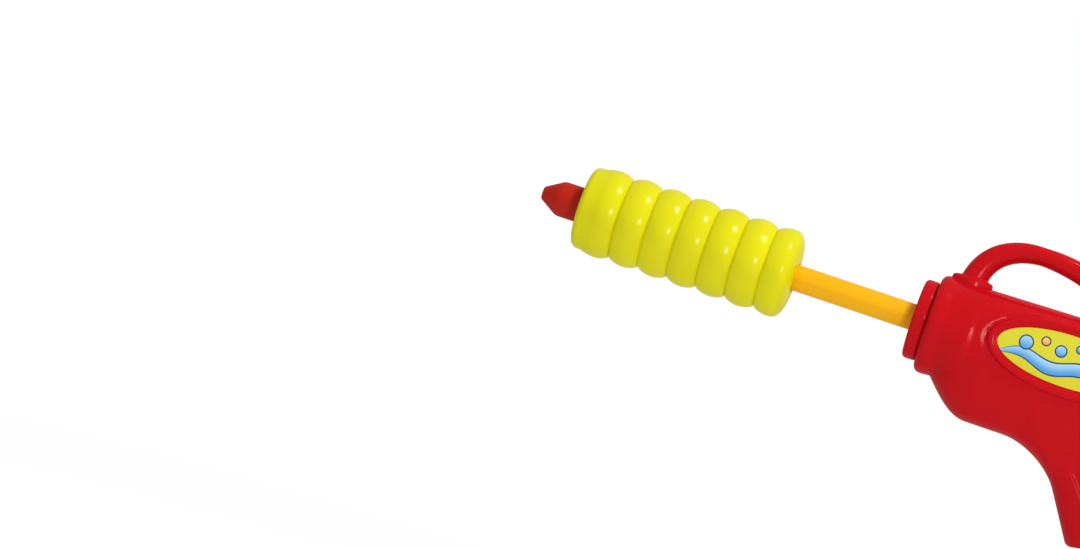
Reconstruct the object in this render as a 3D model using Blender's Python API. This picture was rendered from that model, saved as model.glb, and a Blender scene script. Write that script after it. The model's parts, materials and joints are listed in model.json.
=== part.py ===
"""Suction-fill pump water squirter: a two-shell housing with a pistol grip and a loop handle, and a
plunger with a ribbed grip and nozzle that slides in and out of it.

Everything is modelled on the pump axis: X runs along it to the rear, Z is up, and X = 0 is the front
face of the housing. A root empty then carries the origin to the middle of the pistol grip.
"""

import math

import bmesh
import bpy
from mathutils import Vector
from mathutils.geometry import interpolate_bezier

MM = 0.001

# Clearances
GAP = 0.3 * MM  # between pieces that touch or seat
SEAL_GAP = 0.15 * MM  # between a seal's rim and the bore it rubs on
SEAM_GAP = 0.3 * MM  # between the two shells

# Pump
PUMP_BORE = 32.0 * MM
CYLINDER_WALL = 2.0 * MM
CYLINDER_FLANGE_RISE = 3.0 * MM
CYLINDER_FLANGE_THICKNESS = 2.4 * MM
PUMP_STROKE = 61.0 * MM
STROKE_MARGIN = 1.7 * MM  # tube that still shows with the pump pushed home
END_CLEARANCE = 1.0 * MM  # left behind the piston with the pump pushed home
BUMP_CLEARANCE = 0.5 * MM  # left before the bump stop with the pump drawn out
PISTON_LENGTH = 13.6 * MM
PISTON_SIDE_CLEARANCE = 0.5 * MM
O_RING_THICKNESS = 2.24 * MM
O_RING_INSET = 3.4 * MM  # from a piston's end to the middle of its nearest seal
BUMP_STOP_DIAMETER = 26.0 * MM
BUMP_STOP_THICKNESS = 2.0 * MM
END_PLUG_LENGTH = 8.0 * MM
END_PLUG_FLANGE = 2.3 * MM
RETAINER_HEAD_DIAMETER = 13.0 * MM
RETAINER_HEAD_HEIGHT = 2.5 * MM
RETAINER_SHANK_DIAMETER = 7.0 * MM
RETAINER_SHANK_LENGTH = 12.0 * MM
RETAINER_BORE = 4.0 * MM

# Plunger tube, grip and nozzle
TUBE_DIAMETER = 13.3 * MM
TUBE_BORE = 9.2 * MM
TUBE_NECK_DIAMETER = 11.4 * MM  # the part that the grip slips over
RIB_COUNT = 7
RIB_PITCH = 15.45 * MM
RIB_CREST_DIAMETER = 45.6 * MM
RIB_ROOT_DIAMETER = 41.0 * MM
GRIP_FRONT_LAND = 5.2 * MM
GRIP_WALL = 2.0 * MM
GRIP_END_WALL = 3.0 * MM
GRIP_EDGE_RADIUS = 2.0 * MM
NOZZLE_DIAMETER = 18.0 * MM
NOZZLE_BARREL = 12.0 * MM
NOZZLE_CONE = 9.5 * MM
NOZZLE_TIP_DIAMETER = 6.4 * MM
NOZZLE_ORIFICE = 2.4 * MM
NOZZLE_SOCKET_DEPTH = 9.0 * MM
NOZZLE_SEAL_THICKNESS = 1.2 * MM

# Front cap, its bush and its wiper
CAP_DIAMETER = 40.8 * MM
CAP_HEAD = 7.0 * MM
CAP_EDGE_RADIUS = 2.0 * MM
CAP_SPIGOT_DEPTH = 9.7 * MM
CAP_LIP = 2.5 * MM
GASKET_THICKNESS = 1.0 * MM
BUSH_WALL = 2.5 * MM
WIPER_LENGTH = 2.0 * MM

# Housing shells
SHELL_WALL = 2.2 * MM
FRONT_WALL = 2.8 * MM
SIDE_ROOM = 2.8 * MM  # between the cylinder's flange and the shell's side
COLLAR_LENGTH = 9.0 * MM
COLLAR_STEP = 0.5 * MM  # collar above the body behind it
COLLAR_EDGE_RADIUS = 3.5 * MM
TOP_SLOPE = math.radians(1.3)  # body's top against the pump axis
BELLY_DEPTH = 41.0 * MM  # belly below the pump axis
BELLY_RUN = 24.0 * MM  # length over which the belly drops
REAR_ROOM = 41.9 * MM  # behind the rear bulkhead
REAR_ROUND = 34.0 * MM
BODY_POWER = 2.8  # squareness of the body's section
BULKHEAD_THICKNESS = 2.5 * MM
BULKHEAD_DROP = 6.0 * MM  # bulkhead below the cylinder
MIDDLE_BULKHEAD_LEAD = 12.4 * MM  # ahead of the end plug
PAD_LENGTH = 82.0 * MM  # flat oval that carries a label
PAD_HEIGHT = 35.0 * MM
PAD_RISE = 0.8 * MM
PAD_EDGE = 2.4 * MM
PAD_X = 72.2 * MM
PAD_Z = 3.0 * MM
LABEL_MARGIN = 4.8 * MM
LABEL_THICKNESS = 0.4 * MM

# Pistol grip
STRAP_X = 73.8 * MM  # where the front strap would meet the belly
STRAP_RAKE = math.radians(31.7)
STRAP_FILLET = 30.0 * MM
PISTOL_DEPTH = 42.0 * MM
PISTOL_WIDTH = 33.0 * MM
PISTOL_LENGTH = 50.3 * MM  # front strap's corner to the base, along the front strap
PISTOL_POWER = 2.4
BACK_FILLET = 6.0 * MM
PISTOL_SINK = 0.5 * MM  # where its fillets start, above the belly
BASE_TILT = math.radians(12.0)
HAND_DROP = 17.5 * MM  # hand's middle, the origin, below the grip's top

# Shell screws
POST_DIAMETER = 9.6 * MM
SCREW_HEAD_DIAMETER = 5.8 * MM
SCREW_HEAD_HEIGHT = 2.0 * MM
SCREW_SHANK_DIAMETER = 2.8 * MM
SCREW_SHANK_LENGTH = 16.0 * MM
SCREW_SEAT = 6.0 * MM  # head's seat from the seam
SCREW_SOCKET_WIDTH = 2.6 * MM
SCREW_SOCKET_DEPTH = 1.1 * MM
BELLY_POST_FRONT = 17.4 * MM  # behind the front bulkhead
BELLY_POST_PITCH = 34.0 * MM
PISTOL_POST_DROP = 8.0 * MM  # upper post below the grip's top
PISTOL_POST_RISE = 15.8 * MM  # lower post above the base's front corner
REAR_POST_UPPER = (12.0 * MM, 15.0 * MM)  # behind the rear bulkhead, above the axis
REAR_POST_LOWER = (22.0 * MM, -18.0 * MM)

# Loop handle
HANDLE_HEIGHT = 29.2 * MM  # bar's top above the body at the front foot
HANDLE_BAR = 9.2 * MM
HANDLE_LEG = 13.4 * MM  # leg's thickness at the foot
HANDLE_WIDTH = 12.4 * MM
FOOT_LENGTH = 21.0 * MM
FOOT_WIDTH = 17.0 * MM
FOOT_HEIGHT = 2.8 * MM
FOOT_EDGE_RADIUS = 2.0 * MM
FRONT_FOOT_X = 15.6 * MM
HANDLE_CREST = 0.36  # highest point, as a share of the span between the feet
FRONT_LEAN = 0.015  # legs' lean, as shares of the span
REAR_LEAN = 0.06
FRONT_LEG_PULL = 0.71  # how far up each leg keeps its direction, as shares of the rise
REAR_LEG_PULL = 0.75
FRONT_BAR_PULL = 0.19  # how far the bar keeps level on either side of its crest, as shares of the span
REAR_BAR_PULL = 0.228
SIGHT_LENGTH = 11.0 * MM  # low bump on top of the bar
SIGHT_WIDTH = 9.5 * MM
SIGHT_RISE = 1.3 * MM
NECK_LENGTH = 10.0 * MM
NECK_WIDTH = 5.0 * MM
LUG_LENGTH = 13.0 * MM
LUG_WIDTH = 9.0 * MM
LUG_THICKNESS = 2.4 * MM
LUG_ROOM = 1.3 * MM  # lug above the cylinder
LUG_CLEARANCE = 0.9 * MM  # lug below the shell's inner face

# Smoothness: sides of turned pieces and points round lofted ones
TURNED_SIDE_COUNT = 28
SLIM_SIDE_COUNT = 20
SMALL_SIDE_COUNT = 10
BODY_POINT_COUNT = 24
PISTOL_POINT_COUNT = 20
HANDLE_POINT_COUNT = 12
FOOT_POINT_COUNT = 20
OVAL_POINT_COUNT = 28
CLIMB_STEP_COUNT = 9  # points along the handle's front and rear parts
FALL_STEP_COUNT = 10
SIGHT_SEGMENTS = 16
BELLY_STATIONS = (0, 0.25, 0.55, 1)  # rings along the belly's drop, the rear end and the strap's fillet
REAR_STATIONS = (0, 0.45, 0.72, 0.89, 0.97, 0.997)
FILLET_STATIONS = (0.04, 0.14, 0.28, 0.5)
SHARP_ANGLE = math.radians(35)  # edges sharper than this stay sharp in the shading

# Pump places along X
BORE_RADIUS = PUMP_BORE / 2
CYLINDER_RADIUS = BORE_RADIUS + CYLINDER_WALL
FLANGE_RADIUS = CYLINDER_RADIUS + CYLINDER_FLANGE_RISE
TUBE_RADIUS = TUBE_DIAMETER / 2
NECK_RADIUS = TUBE_NECK_DIAMETER / 2
ROD_HOLE_RADIUS = TUBE_RADIUS + GAP
CAP_BACK = -GAP
CAP_FRONT = CAP_BACK - CAP_HEAD
CYLINDER_FRONT = FRONT_WALL + GAP
GASKET_FRONT = CYLINDER_FRONT - GAP - GASKET_THICKNESS
CAP_NECK_END = GASKET_FRONT - GAP
SPIGOT_END = CAP_NECK_END + CAP_SPIGOT_DEPTH
BUMP_FRONT = SPIGOT_END + BUMP_CLEARANCE
PISTON_FRONT = BUMP_FRONT + BUMP_STOP_THICKNESS + GAP
PISTON_BACK = PISTON_FRONT + PISTON_LENGTH
RETAINER_BACK = PISTON_BACK + GAP + RETAINER_HEAD_HEIGHT
PLUG_FRONT = RETAINER_BACK + PUMP_STROKE + END_CLEARANCE
CYLINDER_BACK = PLUG_FRONT + END_PLUG_LENGTH
PLUG_BACK = CYLINDER_BACK + GAP + END_PLUG_FLANGE
GRIP_BACK = CAP_FRONT - PUMP_STROKE - STROKE_MARGIN
GRIP_LENGTH = GRIP_FRONT_LAND + RIB_COUNT * RIB_PITCH
GRIP_FRONT = GRIP_BACK - GRIP_LENGTH
NOZZLE_BACK = GRIP_FRONT - GAP
NOZZLE_TIP = NOZZLE_BACK - NOZZLE_BARREL - NOZZLE_CONE
SOCKET_END = NOZZLE_BACK - NOZZLE_SOCKET_DEPTH
TUBE_FRONT = SOCKET_END + NOZZLE_SEAL_THICKNESS + 2 * GAP
TUBE_BACK = PISTON_BACK - RETAINER_HEAD_HEIGHT - GAP

# Housing places
FRONT_BULKHEAD = CYLINDER_FRONT + CYLINDER_FLANGE_THICKNESS + GAP
REAR_BULKHEAD = PLUG_BACK + GAP
MIDDLE_BULKHEAD = PLUG_FRONT - MIDDLE_BULKHEAD_LEAD
REAR_BULKHEAD_BACK = REAR_BULKHEAD + BULKHEAD_THICKNESS
BODY_BACK = REAR_BULKHEAD_BACK + REAR_ROOM
LUG_BOTTOM = CYLINDER_RADIUS + LUG_ROOM
LUG_TOP = LUG_BOTTOM + LUG_THICKNESS
BODY_TOP = LUG_TOP + LUG_CLEARANCE + SHELL_WALL
COLLAR_RADIUS = BODY_TOP + COLLAR_STEP
BODY_HALF_WIDTH = FLANGE_RADIUS + SIDE_ROOM + SHELL_WALL
REAR_FOOT_X = REAR_BULKHEAD - LUG_LENGTH / 2 - 2 * GAP - LUG_ROOM
PAD_FACE = BODY_HALF_WIDTH + PAD_RISE
PISTOL_TOP = PISTOL_SINK - BELLY_DEPTH
HAND_X = STRAP_X + PISTOL_DEPTH / 2 + HAND_DROP * math.tan(STRAP_RAKE)
HAND_Z = PISTOL_TOP - HAND_DROP
BASE_FRONT = Vector(
    (
        STRAP_X + PISTOL_LENGTH * math.sin(STRAP_RAKE),
        0,
        PISTOL_TOP - PISTOL_LENGTH * math.cos(STRAP_RAKE),
    )
)
BASE_NORMAL = Vector((math.sin(BASE_TILT), 0, -math.cos(BASE_TILT)))

RED = (0.58, 0.006, 0.012)
NOZZLE_RED = (0.46, 0.012, 0.012)
YELLOW = (0.80, 0.74, 0.015)
ORANGE = (0.98, 0.47, 0.02)
WHITE = (0.80, 0.80, 0.76)
BLACK = (0.02, 0.02, 0.02)
LABEL_YELLOW = (0.72, 0.67, 0.06)
STEEL = (0.55, 0.56, 0.57)
GLOSSY = 0.25
SATIN = 0.4
RUBBERY = 0.6


def clear_scene():
    """Removes everything that the scene starts with."""
    for thing in list(bpy.data.objects):
        bpy.data.objects.remove(thing, do_unlink=True)


def solid_from(name, build):
    """An object whose closed mesh the function build puts into a bmesh, with its faces turned out."""
    bm = bmesh.new()
    build(bm)
    bmesh.ops.triangulate(bm, faces=bm.faces)
    bmesh.ops.recalc_face_normals(bm, faces=bm.faces)
    mesh = bpy.data.meshes.new(name)
    bm.to_mesh(mesh)
    bm.free()
    thing = bpy.data.objects.new(name, mesh)
    bpy.context.scene.collection.objects.link(thing)
    return thing


def bridge(bm, first, second):
    """Quads between two rings of as many points, or triangles from a ring to one point."""
    if len(second) == 1:
        first, second = second, first
    count = len(second)
    for i in range(count):
        following = (i + 1) % count
        if len(first) == 1:
            bm.faces.new((first[0], second[i], second[following]))
        else:
            bm.faces.new((first[i], second[i], second[following], first[following]))


def loft(name, rings):
    """A closed solid through the rings of points, its two ends filled."""

    def build(bm):
        rows = [[bm.verts.new(point) for point in ring] for ring in rings]
        for first, second in zip(rows, rows[1:]):
            bridge(bm, first, second)
        bm.faces.new(rows[0])
        bm.faces.new(rows[-1])

    return solid_from(name, build)


def turned(name, profile, sides=TURNED_SIDE_COUNT):
    """A solid turned about the X axis from an outline of (x, radius) points. An outline that starts
    and ends at radius 0 gives a solid rod, and any other outline closes on itself into a ring."""

    def build(bm):
        rows = []
        for x, radius in profile:
            if radius <= 0:
                rows.append([bm.verts.new((x, 0, 0))])
                continue
            points = [(x, radius * math.cos(a), radius * math.sin(a)) for a in ring_angles(sides)]
            rows.append([bm.verts.new(point) for point in points])
        for first, second in zip(rows, rows[1:]):
            bridge(bm, first, second)
        if profile[0][1] > 0:
            bridge(bm, rows[-1], rows[0])

    return solid_from(name, build)


def ring_angles(count):
    """Angles of a ring's points, with none on the seam plane."""
    return [2 * math.pi * (i + 0.5) / count for i in range(count)]


def ring_section(x0, x1, inner, outer):
    """The outline of a plain ring."""
    return [(x0, inner), (x0, outer), (x1, outer), (x1, inner)]


def arc(x, radius, reach, start, end, steps):
    """Points of an arc about (x, radius), from angle start to end in degrees from the +X direction."""
    points = []
    for i in range(steps + 1):
        a = math.radians(start + (end - start) * i / steps)
        points.append((x + reach * math.cos(a), radius + reach * math.sin(a)))
    return points


def block(name, low, high):
    """A box between two corners."""

    def build(bm):
        bmesh.ops.create_cube(bm, size=1)
        for vert in bm.verts:
            vert.co = [low[i] + (vert.co[i] + 0.5) * (high[i] - low[i]) for i in range(3)]

    return solid_from(name, build)


def cross_rod(name, x, z, radius, y0, y1, sides=SMALL_SIDE_COUNT):
    """A rod across the housing, along Y."""
    rings = []
    for y in (y0, y1):
        angles = ring_angles(sides)
        rings.append([(x + radius * math.cos(a), y, z + radius * math.sin(a)) for a in angles])
    return loft(name, rings)


def combine(target, tool, operation):
    """Joins, cuts or intersects the target with the tool, which is used up."""
    modifier = target.modifiers.new("combine", "BOOLEAN")
    modifier.object = tool
    modifier.operation = operation
    modifier.solver = "EXACT"
    graph = bpy.context.evaluated_depsgraph_get()
    mesh = bpy.data.meshes.new_from_object(target.evaluated_get(graph))
    target.modifiers.clear()
    target.data = mesh
    bpy.data.objects.remove(tool, do_unlink=True)
    bm = bmesh.new()
    bm.from_mesh(mesh)
    bmesh.ops.triangulate(bm, faces=bm.faces)
    bm.to_mesh(mesh)
    bm.free()
    return target


def copy_of(thing, name):
    """A second object with its own copy of the mesh."""
    other = bpy.data.objects.new(name, thing.data.copy())
    bpy.context.scene.collection.objects.link(other)
    return other


def finish(thing, parent, colour, roughness, metallic=0.0):
    """Gives a piece its material, smooth shading and parent."""
    material = bpy.data.materials.new(thing.name)
    material.use_nodes = True
    shader = material.node_tree.nodes["Principled BSDF"]
    shader.inputs["Base Color"].default_value = (*colour, 1)
    shader.inputs["Roughness"].default_value = roughness
    shader.inputs["Metallic"].default_value = metallic
    thing.data.materials.clear()
    thing.data.materials.append(material)
    thing.data.shade_smooth()
    thing.data.set_sharp_from_angle(angle=SHARP_ANGLE)
    thing.parent = parent
    return thing


def rounded_power(value, power):
    """A superellipse's coordinate from a sine or cosine."""
    return math.copysign(abs(value) ** (2 / power), value)


def body_top(x):
    """Height of the body's top line over the pump axis."""
    return BODY_TOP + math.tan(TOP_SLOPE) * max(x - COLLAR_LENGTH, 0)


def body_bottom(x):
    """Height of the belly line, which drops along a quarter sine behind the collar."""
    share = min(max((x - COLLAR_LENGTH) / BELLY_RUN, 0), 1)
    return -BODY_TOP - (BELLY_DEPTH - BODY_TOP) * math.sin(share * math.pi / 2)


def body_ring(x, inset):
    """The body's section at x, drawn in by inset. It is round at the collar and squarer behind it,
    and it closes in a rounded end at the rear."""
    share = min(max((x - COLLAR_LENGTH) / BELLY_RUN, 0), 1)
    power = 2 + (BODY_POWER - 2) * share
    half_width = BODY_TOP + (BODY_HALF_WIDTH - BODY_TOP) * share
    rear = max(x - (BODY_BACK - REAR_ROUND), 0) / (REAR_ROUND - inset)
    close = max(1 - rear**BODY_POWER, 0) ** (1 / BODY_POWER)
    ring = []
    for a in ring_angles(BODY_POINT_COUNT):
        height = body_top(x) if math.sin(a) > 0 else -body_bottom(x)
        y = (half_width - inset) * close * rounded_power(math.cos(a), power)
        z = (height - inset) * close * rounded_power(math.sin(a), power)
        ring.append((x, y, z))
    return ring


def body_solid(name, inset):
    """The barrel-shaped upper body, drawn in by inset."""
    start = FRONT_WALL * inset / SHELL_WALL if inset > 0 else COLLAR_LENGTH / 2
    front = [start] + [COLLAR_LENGTH + BELLY_RUN * share for share in BELLY_STATIONS]
    belly_end, rear_start = COLLAR_LENGTH + BELLY_RUN, BODY_BACK - REAR_ROUND
    middle = [belly_end + (rear_start - belly_end) * i / 3 for i in (1, 2)]
    rear = [rear_start + (REAR_ROUND - inset) * share for share in REAR_STATIONS]
    return loft(name, [body_ring(x, inset) for x in front + middle + rear])


def strap_front(z):
    """X of the front strap at height z, with the fillet that leads to it from the belly."""
    drop = PISTOL_TOP - z
    centre_x = STRAP_X - STRAP_FILLET * (1 - math.sin(STRAP_RAKE)) / math.cos(STRAP_RAKE)
    tangent_drop = STRAP_FILLET * (1 - math.sin(STRAP_RAKE))
    if drop >= tangent_drop:
        return STRAP_X + drop * math.tan(STRAP_RAKE)
    height = STRAP_FILLET - max(drop, 0)
    return centre_x + math.sqrt(STRAP_FILLET**2 - height**2)


def strap_back(z):
    """X of the back strap at height z, with the fillet under the body's rear."""
    drop = PISTOL_TOP - z
    corner = STRAP_X + PISTOL_DEPTH
    centre_x = corner + BACK_FILLET * (1 + math.sin(STRAP_RAKE)) / math.cos(STRAP_RAKE)
    tangent_drop = BACK_FILLET * (1 + math.sin(STRAP_RAKE))
    if drop >= tangent_drop:
        return corner + drop * math.tan(STRAP_RAKE)
    height = BACK_FILLET - max(drop, 0)
    return centre_x - math.sqrt(max(BACK_FILLET**2 - height**2, 0))


def pistol_solid(name, inset):
    """The pistol grip with its flat, tilted base, drawn in by inset."""
    bottom_drop = (PISTOL_LENGTH + PISTOL_DEPTH / 4) * math.cos(STRAP_RAKE)
    drops = [-BELLY_DEPTH / 3, -BELLY_DEPTH / 8, 0]
    drops += [STRAP_FILLET * share for share in FILLET_STATIONS]
    drops += [bottom_drop]
    side_inset = inset / math.cos(STRAP_RAKE)
    rings = []
    for drop in drops:
        z = PISTOL_TOP - drop
        front = strap_front(z) + side_inset
        back = strap_back(z) - side_inset
        half_width = PISTOL_WIDTH / 2 - inset
        ring = []
        for a in ring_angles(PISTOL_POINT_COUNT):
            x = (front + back) / 2 + (back - front) / 2 * rounded_power(math.sin(a), PISTOL_POWER)
            ring.append((x, half_width * rounded_power(math.cos(a), PISTOL_POWER), z))
        rings.append(ring)
    pistol = loft(name, rings)
    reach = 2 * PISTOL_DEPTH
    under = block("base_cutter", (-reach, -reach, -reach), (reach, reach, 0))
    under.rotation_euler = (0, -BASE_TILT, 0)
    under.location = BASE_FRONT - BASE_NORMAL * inset
    bpy.context.view_layer.update()
    return combine(pistol, under, "DIFFERENCE")


def housing_solid(name, inset):
    """Upper body and pistol grip as one solid, drawn in by inset."""
    return combine(body_solid(name, inset), pistol_solid("pistol", inset), "UNION")


def collar_profile(grow=0.0):
    """The round collar at the housing's front, with its front edge rounded and a mouth for the cap. The
    seat that it leaves in the handle's foot is the same shape, larger by grow."""
    mouth = CYLINDER_RADIUS - GAP + SEAL_GAP
    radius = COLLAR_RADIUS + grow
    edge = arc(COLLAR_EDGE_RADIUS - grow, radius - COLLAR_EDGE_RADIUS, COLLAR_EDGE_RADIUS, 180, 90, 4)
    rear = COLLAR_LENGTH - GAP + grow
    return [(-grow, mouth), *edge, (rear, radius), (rear, mouth)]


def label_pad(name, side):
    """The raised flat oval on one side of the body, with a rounded edge."""
    levels = [(PAD_FACE - 4 * PAD_EDGE, 0), (PAD_FACE - PAD_EDGE, 0)]
    for angle in (30, 60, 90):
        a = math.radians(angle)
        levels.append((PAD_FACE - PAD_EDGE * (1 - math.sin(a)), PAD_EDGE * (1 - math.cos(a))))
    rings = []
    for y, inset in levels:
        rings.append(oval_ring(PAD_LENGTH / 2 - inset, PAD_HEIGHT / 2 - inset, side * y))
    return loft(name, rings)


def oval_ring(half_length, half_height, y):
    """An ellipse about the label's middle, in a plane across Y."""
    angles = ring_angles(OVAL_POINT_COUNT)
    return [(PAD_X + half_length * math.cos(a), y, PAD_Z + half_height * math.sin(a)) for a in angles]


def screw_places():
    """(x, z) of the six shell screws, all clear of the pump cylinder."""
    belly_z = -(CYLINDER_RADIUS + BELLY_DEPTH - SHELL_WALL) / 2
    first = FRONT_BULKHEAD + BELLY_POST_FRONT
    places = [(first, belly_z), (first + BELLY_POST_PITCH, belly_z)]
    for drop in (PISTOL_POST_DROP, PISTOL_TOP - BASE_FRONT.z - PISTOL_POST_RISE):
        z = PISTOL_TOP - drop
        places.append((STRAP_X + drop * math.tan(STRAP_RAKE) + PISTOL_DEPTH / 2, z))
    for back, height in (REAR_POST_UPPER, REAR_POST_LOWER):
        places.append((REAR_BULKHEAD_BACK + back, height))
    return places


def add_bulkheads(shell, backing):
    """Adds the plates that hold the pump cylinder, trimmed to the backing solid."""
    wide, low = 2 * BODY_HALF_WIDTH, -CYLINDER_RADIUS - BULKHEAD_DROP
    for x in (FRONT_BULKHEAD, MIDDLE_BULKHEAD, REAR_BULKHEAD):
        back = x + BULKHEAD_THICKNESS
        plate = block("bulkhead", (x, -wide, low), (back, wide, 2 * BODY_TOP))
        combine(plate, copy_of(backing, "backing"), "INTERSECT")
        if x != REAR_BULKHEAD:
            hole = CYLINDER_RADIUS + GAP
            ends = (x - BULKHEAD_THICKNESS, back + BULKHEAD_THICKNESS)
            bore = [(ends[0], 0), (ends[0], hole), (ends[1], hole), (ends[1], 0)]
            combine(plate, turned("barrel_bore", bore), "DIFFERENCE")
        combine(shell, plate, "UNION")


def add_posts(shell, backing):
    """Adds the screw posts, trimmed to the backing solid, and bores them."""
    reach = 2 * BODY_HALF_WIDTH
    for x, z in screw_places():
        post = cross_rod("post", x, z, POST_DIAMETER / 2, -reach, reach)
        combine(shell, combine(post, copy_of(backing, "backing"), "INTERSECT"), "UNION")
    for x, z in screw_places():
        head = cross_rod("head_bore", x, z, SCREW_HEAD_DIAMETER / 2 + GAP, SCREW_SEAT - GAP, reach)
        combine(shell, head, "DIFFERENCE")
        tip = SCREW_SEAT - SCREW_SHANK_LENGTH - 2 * GAP
        shank = cross_rod("shank_bore", x, z, SCREW_SHANK_DIAMETER / 2 + GAP, tip, SCREW_SEAT)
        combine(shell, shank, "DIFFERENCE")


def make_shells(root):
    """The two half shells: outer form less hollow, with bulkheads, posts and openings, split at Y = 0."""
    shell = combine(housing_solid("shell", 0), turned("collar", collar_profile()), "UNION")
    for side in (-1, 1):
        combine(shell, label_pad("pad", side), "UNION")
    combine(shell, housing_solid("hollow", SHELL_WALL), "DIFFERENCE")
    for x in (FRONT_FOOT_X, REAR_FOOT_X):
        half_x, half_y = NECK_LENGTH / 2 + GAP, NECK_WIDTH / 2 + GAP
        slot = block("neck_slot", (x - half_x, -half_y, LUG_TOP), (x + half_x, half_y, 2 * BODY_TOP))
        combine(shell, slot, "DIFFERENCE")
    backing = housing_solid("backing_form", SHELL_WALL / 2)
    add_bulkheads(shell, backing)
    add_posts(shell, backing)
    bpy.data.objects.remove(backing, do_unlink=True)
    far = 4 * BODY_BACK
    for name, side in (("body_shell_left", -1), ("body_shell_right", 1)):
        half = copy_of(shell, name)
        edges = sorted((side * SEAM_GAP / 2, -side * far))
        combine(half, block("half_cutter", (-far, edges[0], -far), (far, edges[1], far)), "DIFFERENCE")
        finish(half, root, RED, GLOSSY)
    bpy.data.objects.remove(shell, do_unlink=True)


def handle_path():
    """(x, z, half thickness) along the loop, from the front foot over the bar to the rear foot."""
    foot_z = BODY_TOP - FOOT_HEIGHT / 2
    bar_z = BODY_TOP + HANDLE_HEIGHT - HANDLE_BAR / 2
    rise = bar_z - foot_z
    span = REAR_FOOT_X - FRONT_FOOT_X
    top = Vector((FRONT_FOOT_X + HANDLE_CREST * span, bar_z))
    front = Vector((FRONT_FOOT_X, foot_z))
    front_leg = front + Vector((FRONT_LEAN * span, FRONT_LEG_PULL * rise))
    rear = Vector((REAR_FOOT_X, foot_z))
    rear_leg = rear + Vector((-REAR_LEAN * span, REAR_LEG_PULL * rise))
    before, after = (Vector((share * span, 0)) for share in (FRONT_BAR_PULL, REAR_BAR_PULL))
    climb = interpolate_bezier(front, front_leg, top - before, top, CLIMB_STEP_COUNT)
    fall = interpolate_bezier(top, top + after, rear_leg, rear, FALL_STEP_COUNT)
    swell = (HANDLE_LEG - HANDLE_BAR) / 2
    path = []
    for points, ends in ((climb, (1, 0)), (fall[1:], (0, 1))):
        for i, point in enumerate(points):
            share = ends[0] + (ends[1] - ends[0]) * i / (len(points) - 1)
            path.append((point.x, point.y, HANDLE_BAR / 2 + swell * share))
    return path


def foot_pad(name, x):
    """The oval bead at one foot of the handle, with a rounded top edge."""
    rings = []
    low = BODY_TOP - FOOT_HEIGHT * 2
    high = body_top(x) + FOOT_HEIGHT
    levels = [(low, 0)]
    for angle in (0, 30, 60, 90):
        a = math.radians(angle)
        levels.append((high - FOOT_EDGE_RADIUS * (1 - math.sin(a)), FOOT_EDGE_RADIUS * (1 - math.cos(a))))
    for z, inset in levels:
        half_x, half_y = FOOT_LENGTH / 2 - inset, FOOT_WIDTH / 2 - inset
        angles = ring_angles(FOOT_POINT_COUNT)
        rings.append([(x + half_x * math.cos(a), half_y * math.sin(a), z) for a in angles])
    return loft(name, rings)


def sight_bump(name, path):
    """The low oval bump on top of the bar, behind its highest point."""
    place = (FRONT_FOOT_X + REAR_FOOT_X) / 2 + SIGHT_LENGTH
    x, z, half = min(path, key=lambda point: abs(point[0] - place))

    def build(bm):
        bmesh.ops.create_uvsphere(bm, u_segments=SIGHT_SEGMENTS, v_segments=SIGHT_SEGMENTS // 2, radius=1)
        for vert in bm.verts:
            reach = (SIGHT_LENGTH / 2, SIGHT_WIDTH / 2, 2 * SIGHT_RISE)
            offset = [vert.co[i] * reach[i] for i in range(3)]
            vert.co = (x + offset[0], offset[1], z + half - SIGHT_RISE + offset[2])

    return solid_from(name, build)


def make_carry_handle(root):
    """The loop handle: a swept bar on two beaded feet, each with a neck and lug that the shells trap."""
    path = handle_path()
    rings = []
    for i, (x, z, half) in enumerate(path):
        before, after = path[max(i - 1, 0)], path[min(i + 1, len(path) - 1)]
        along = Vector((after[0] - before[0], 0, after[1] - before[1])).normalized()
        out = Vector((-along.z, 0, along.x))
        ring = []
        for a in ring_angles(HANDLE_POINT_COUNT):
            side = Vector((0, HANDLE_WIDTH / 2 * rounded_power(math.cos(a), PISTOL_POWER), 0))
            ring.append(Vector((x, 0, z)) + side + out * half * rounded_power(math.sin(a), PISTOL_POWER))
        rings.append(ring)
    handle = loft("carry_handle", rings)
    combine(handle, sight_bump("sight", path), "UNION")
    for x in (FRONT_FOOT_X, REAR_FOOT_X):
        combine(handle, foot_pad("foot", x), "UNION")
    combine(handle, body_solid("seat", -GAP), "DIFFERENCE")
    combine(handle, turned("collar_seat", collar_profile(GAP)), "DIFFERENCE")
    for x in (FRONT_FOOT_X, REAR_FOOT_X):
        half = NECK_LENGTH / 2
        neck_top = body_top(x) + FOOT_HEIGHT / 2
        neck_low = (x - half, -NECK_WIDTH / 2, LUG_TOP - GAP)
        neck = block("neck", neck_low, (x + half, NECK_WIDTH / 2, neck_top))
        half = LUG_LENGTH / 2
        lug = block("lug", (x - half, -LUG_WIDTH / 2, LUG_BOTTOM), (x + half, LUG_WIDTH / 2, LUG_TOP))
        combine(handle, combine(neck, lug, "UNION"), "UNION")
    finish(handle, root, RED, GLOSSY)


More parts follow.
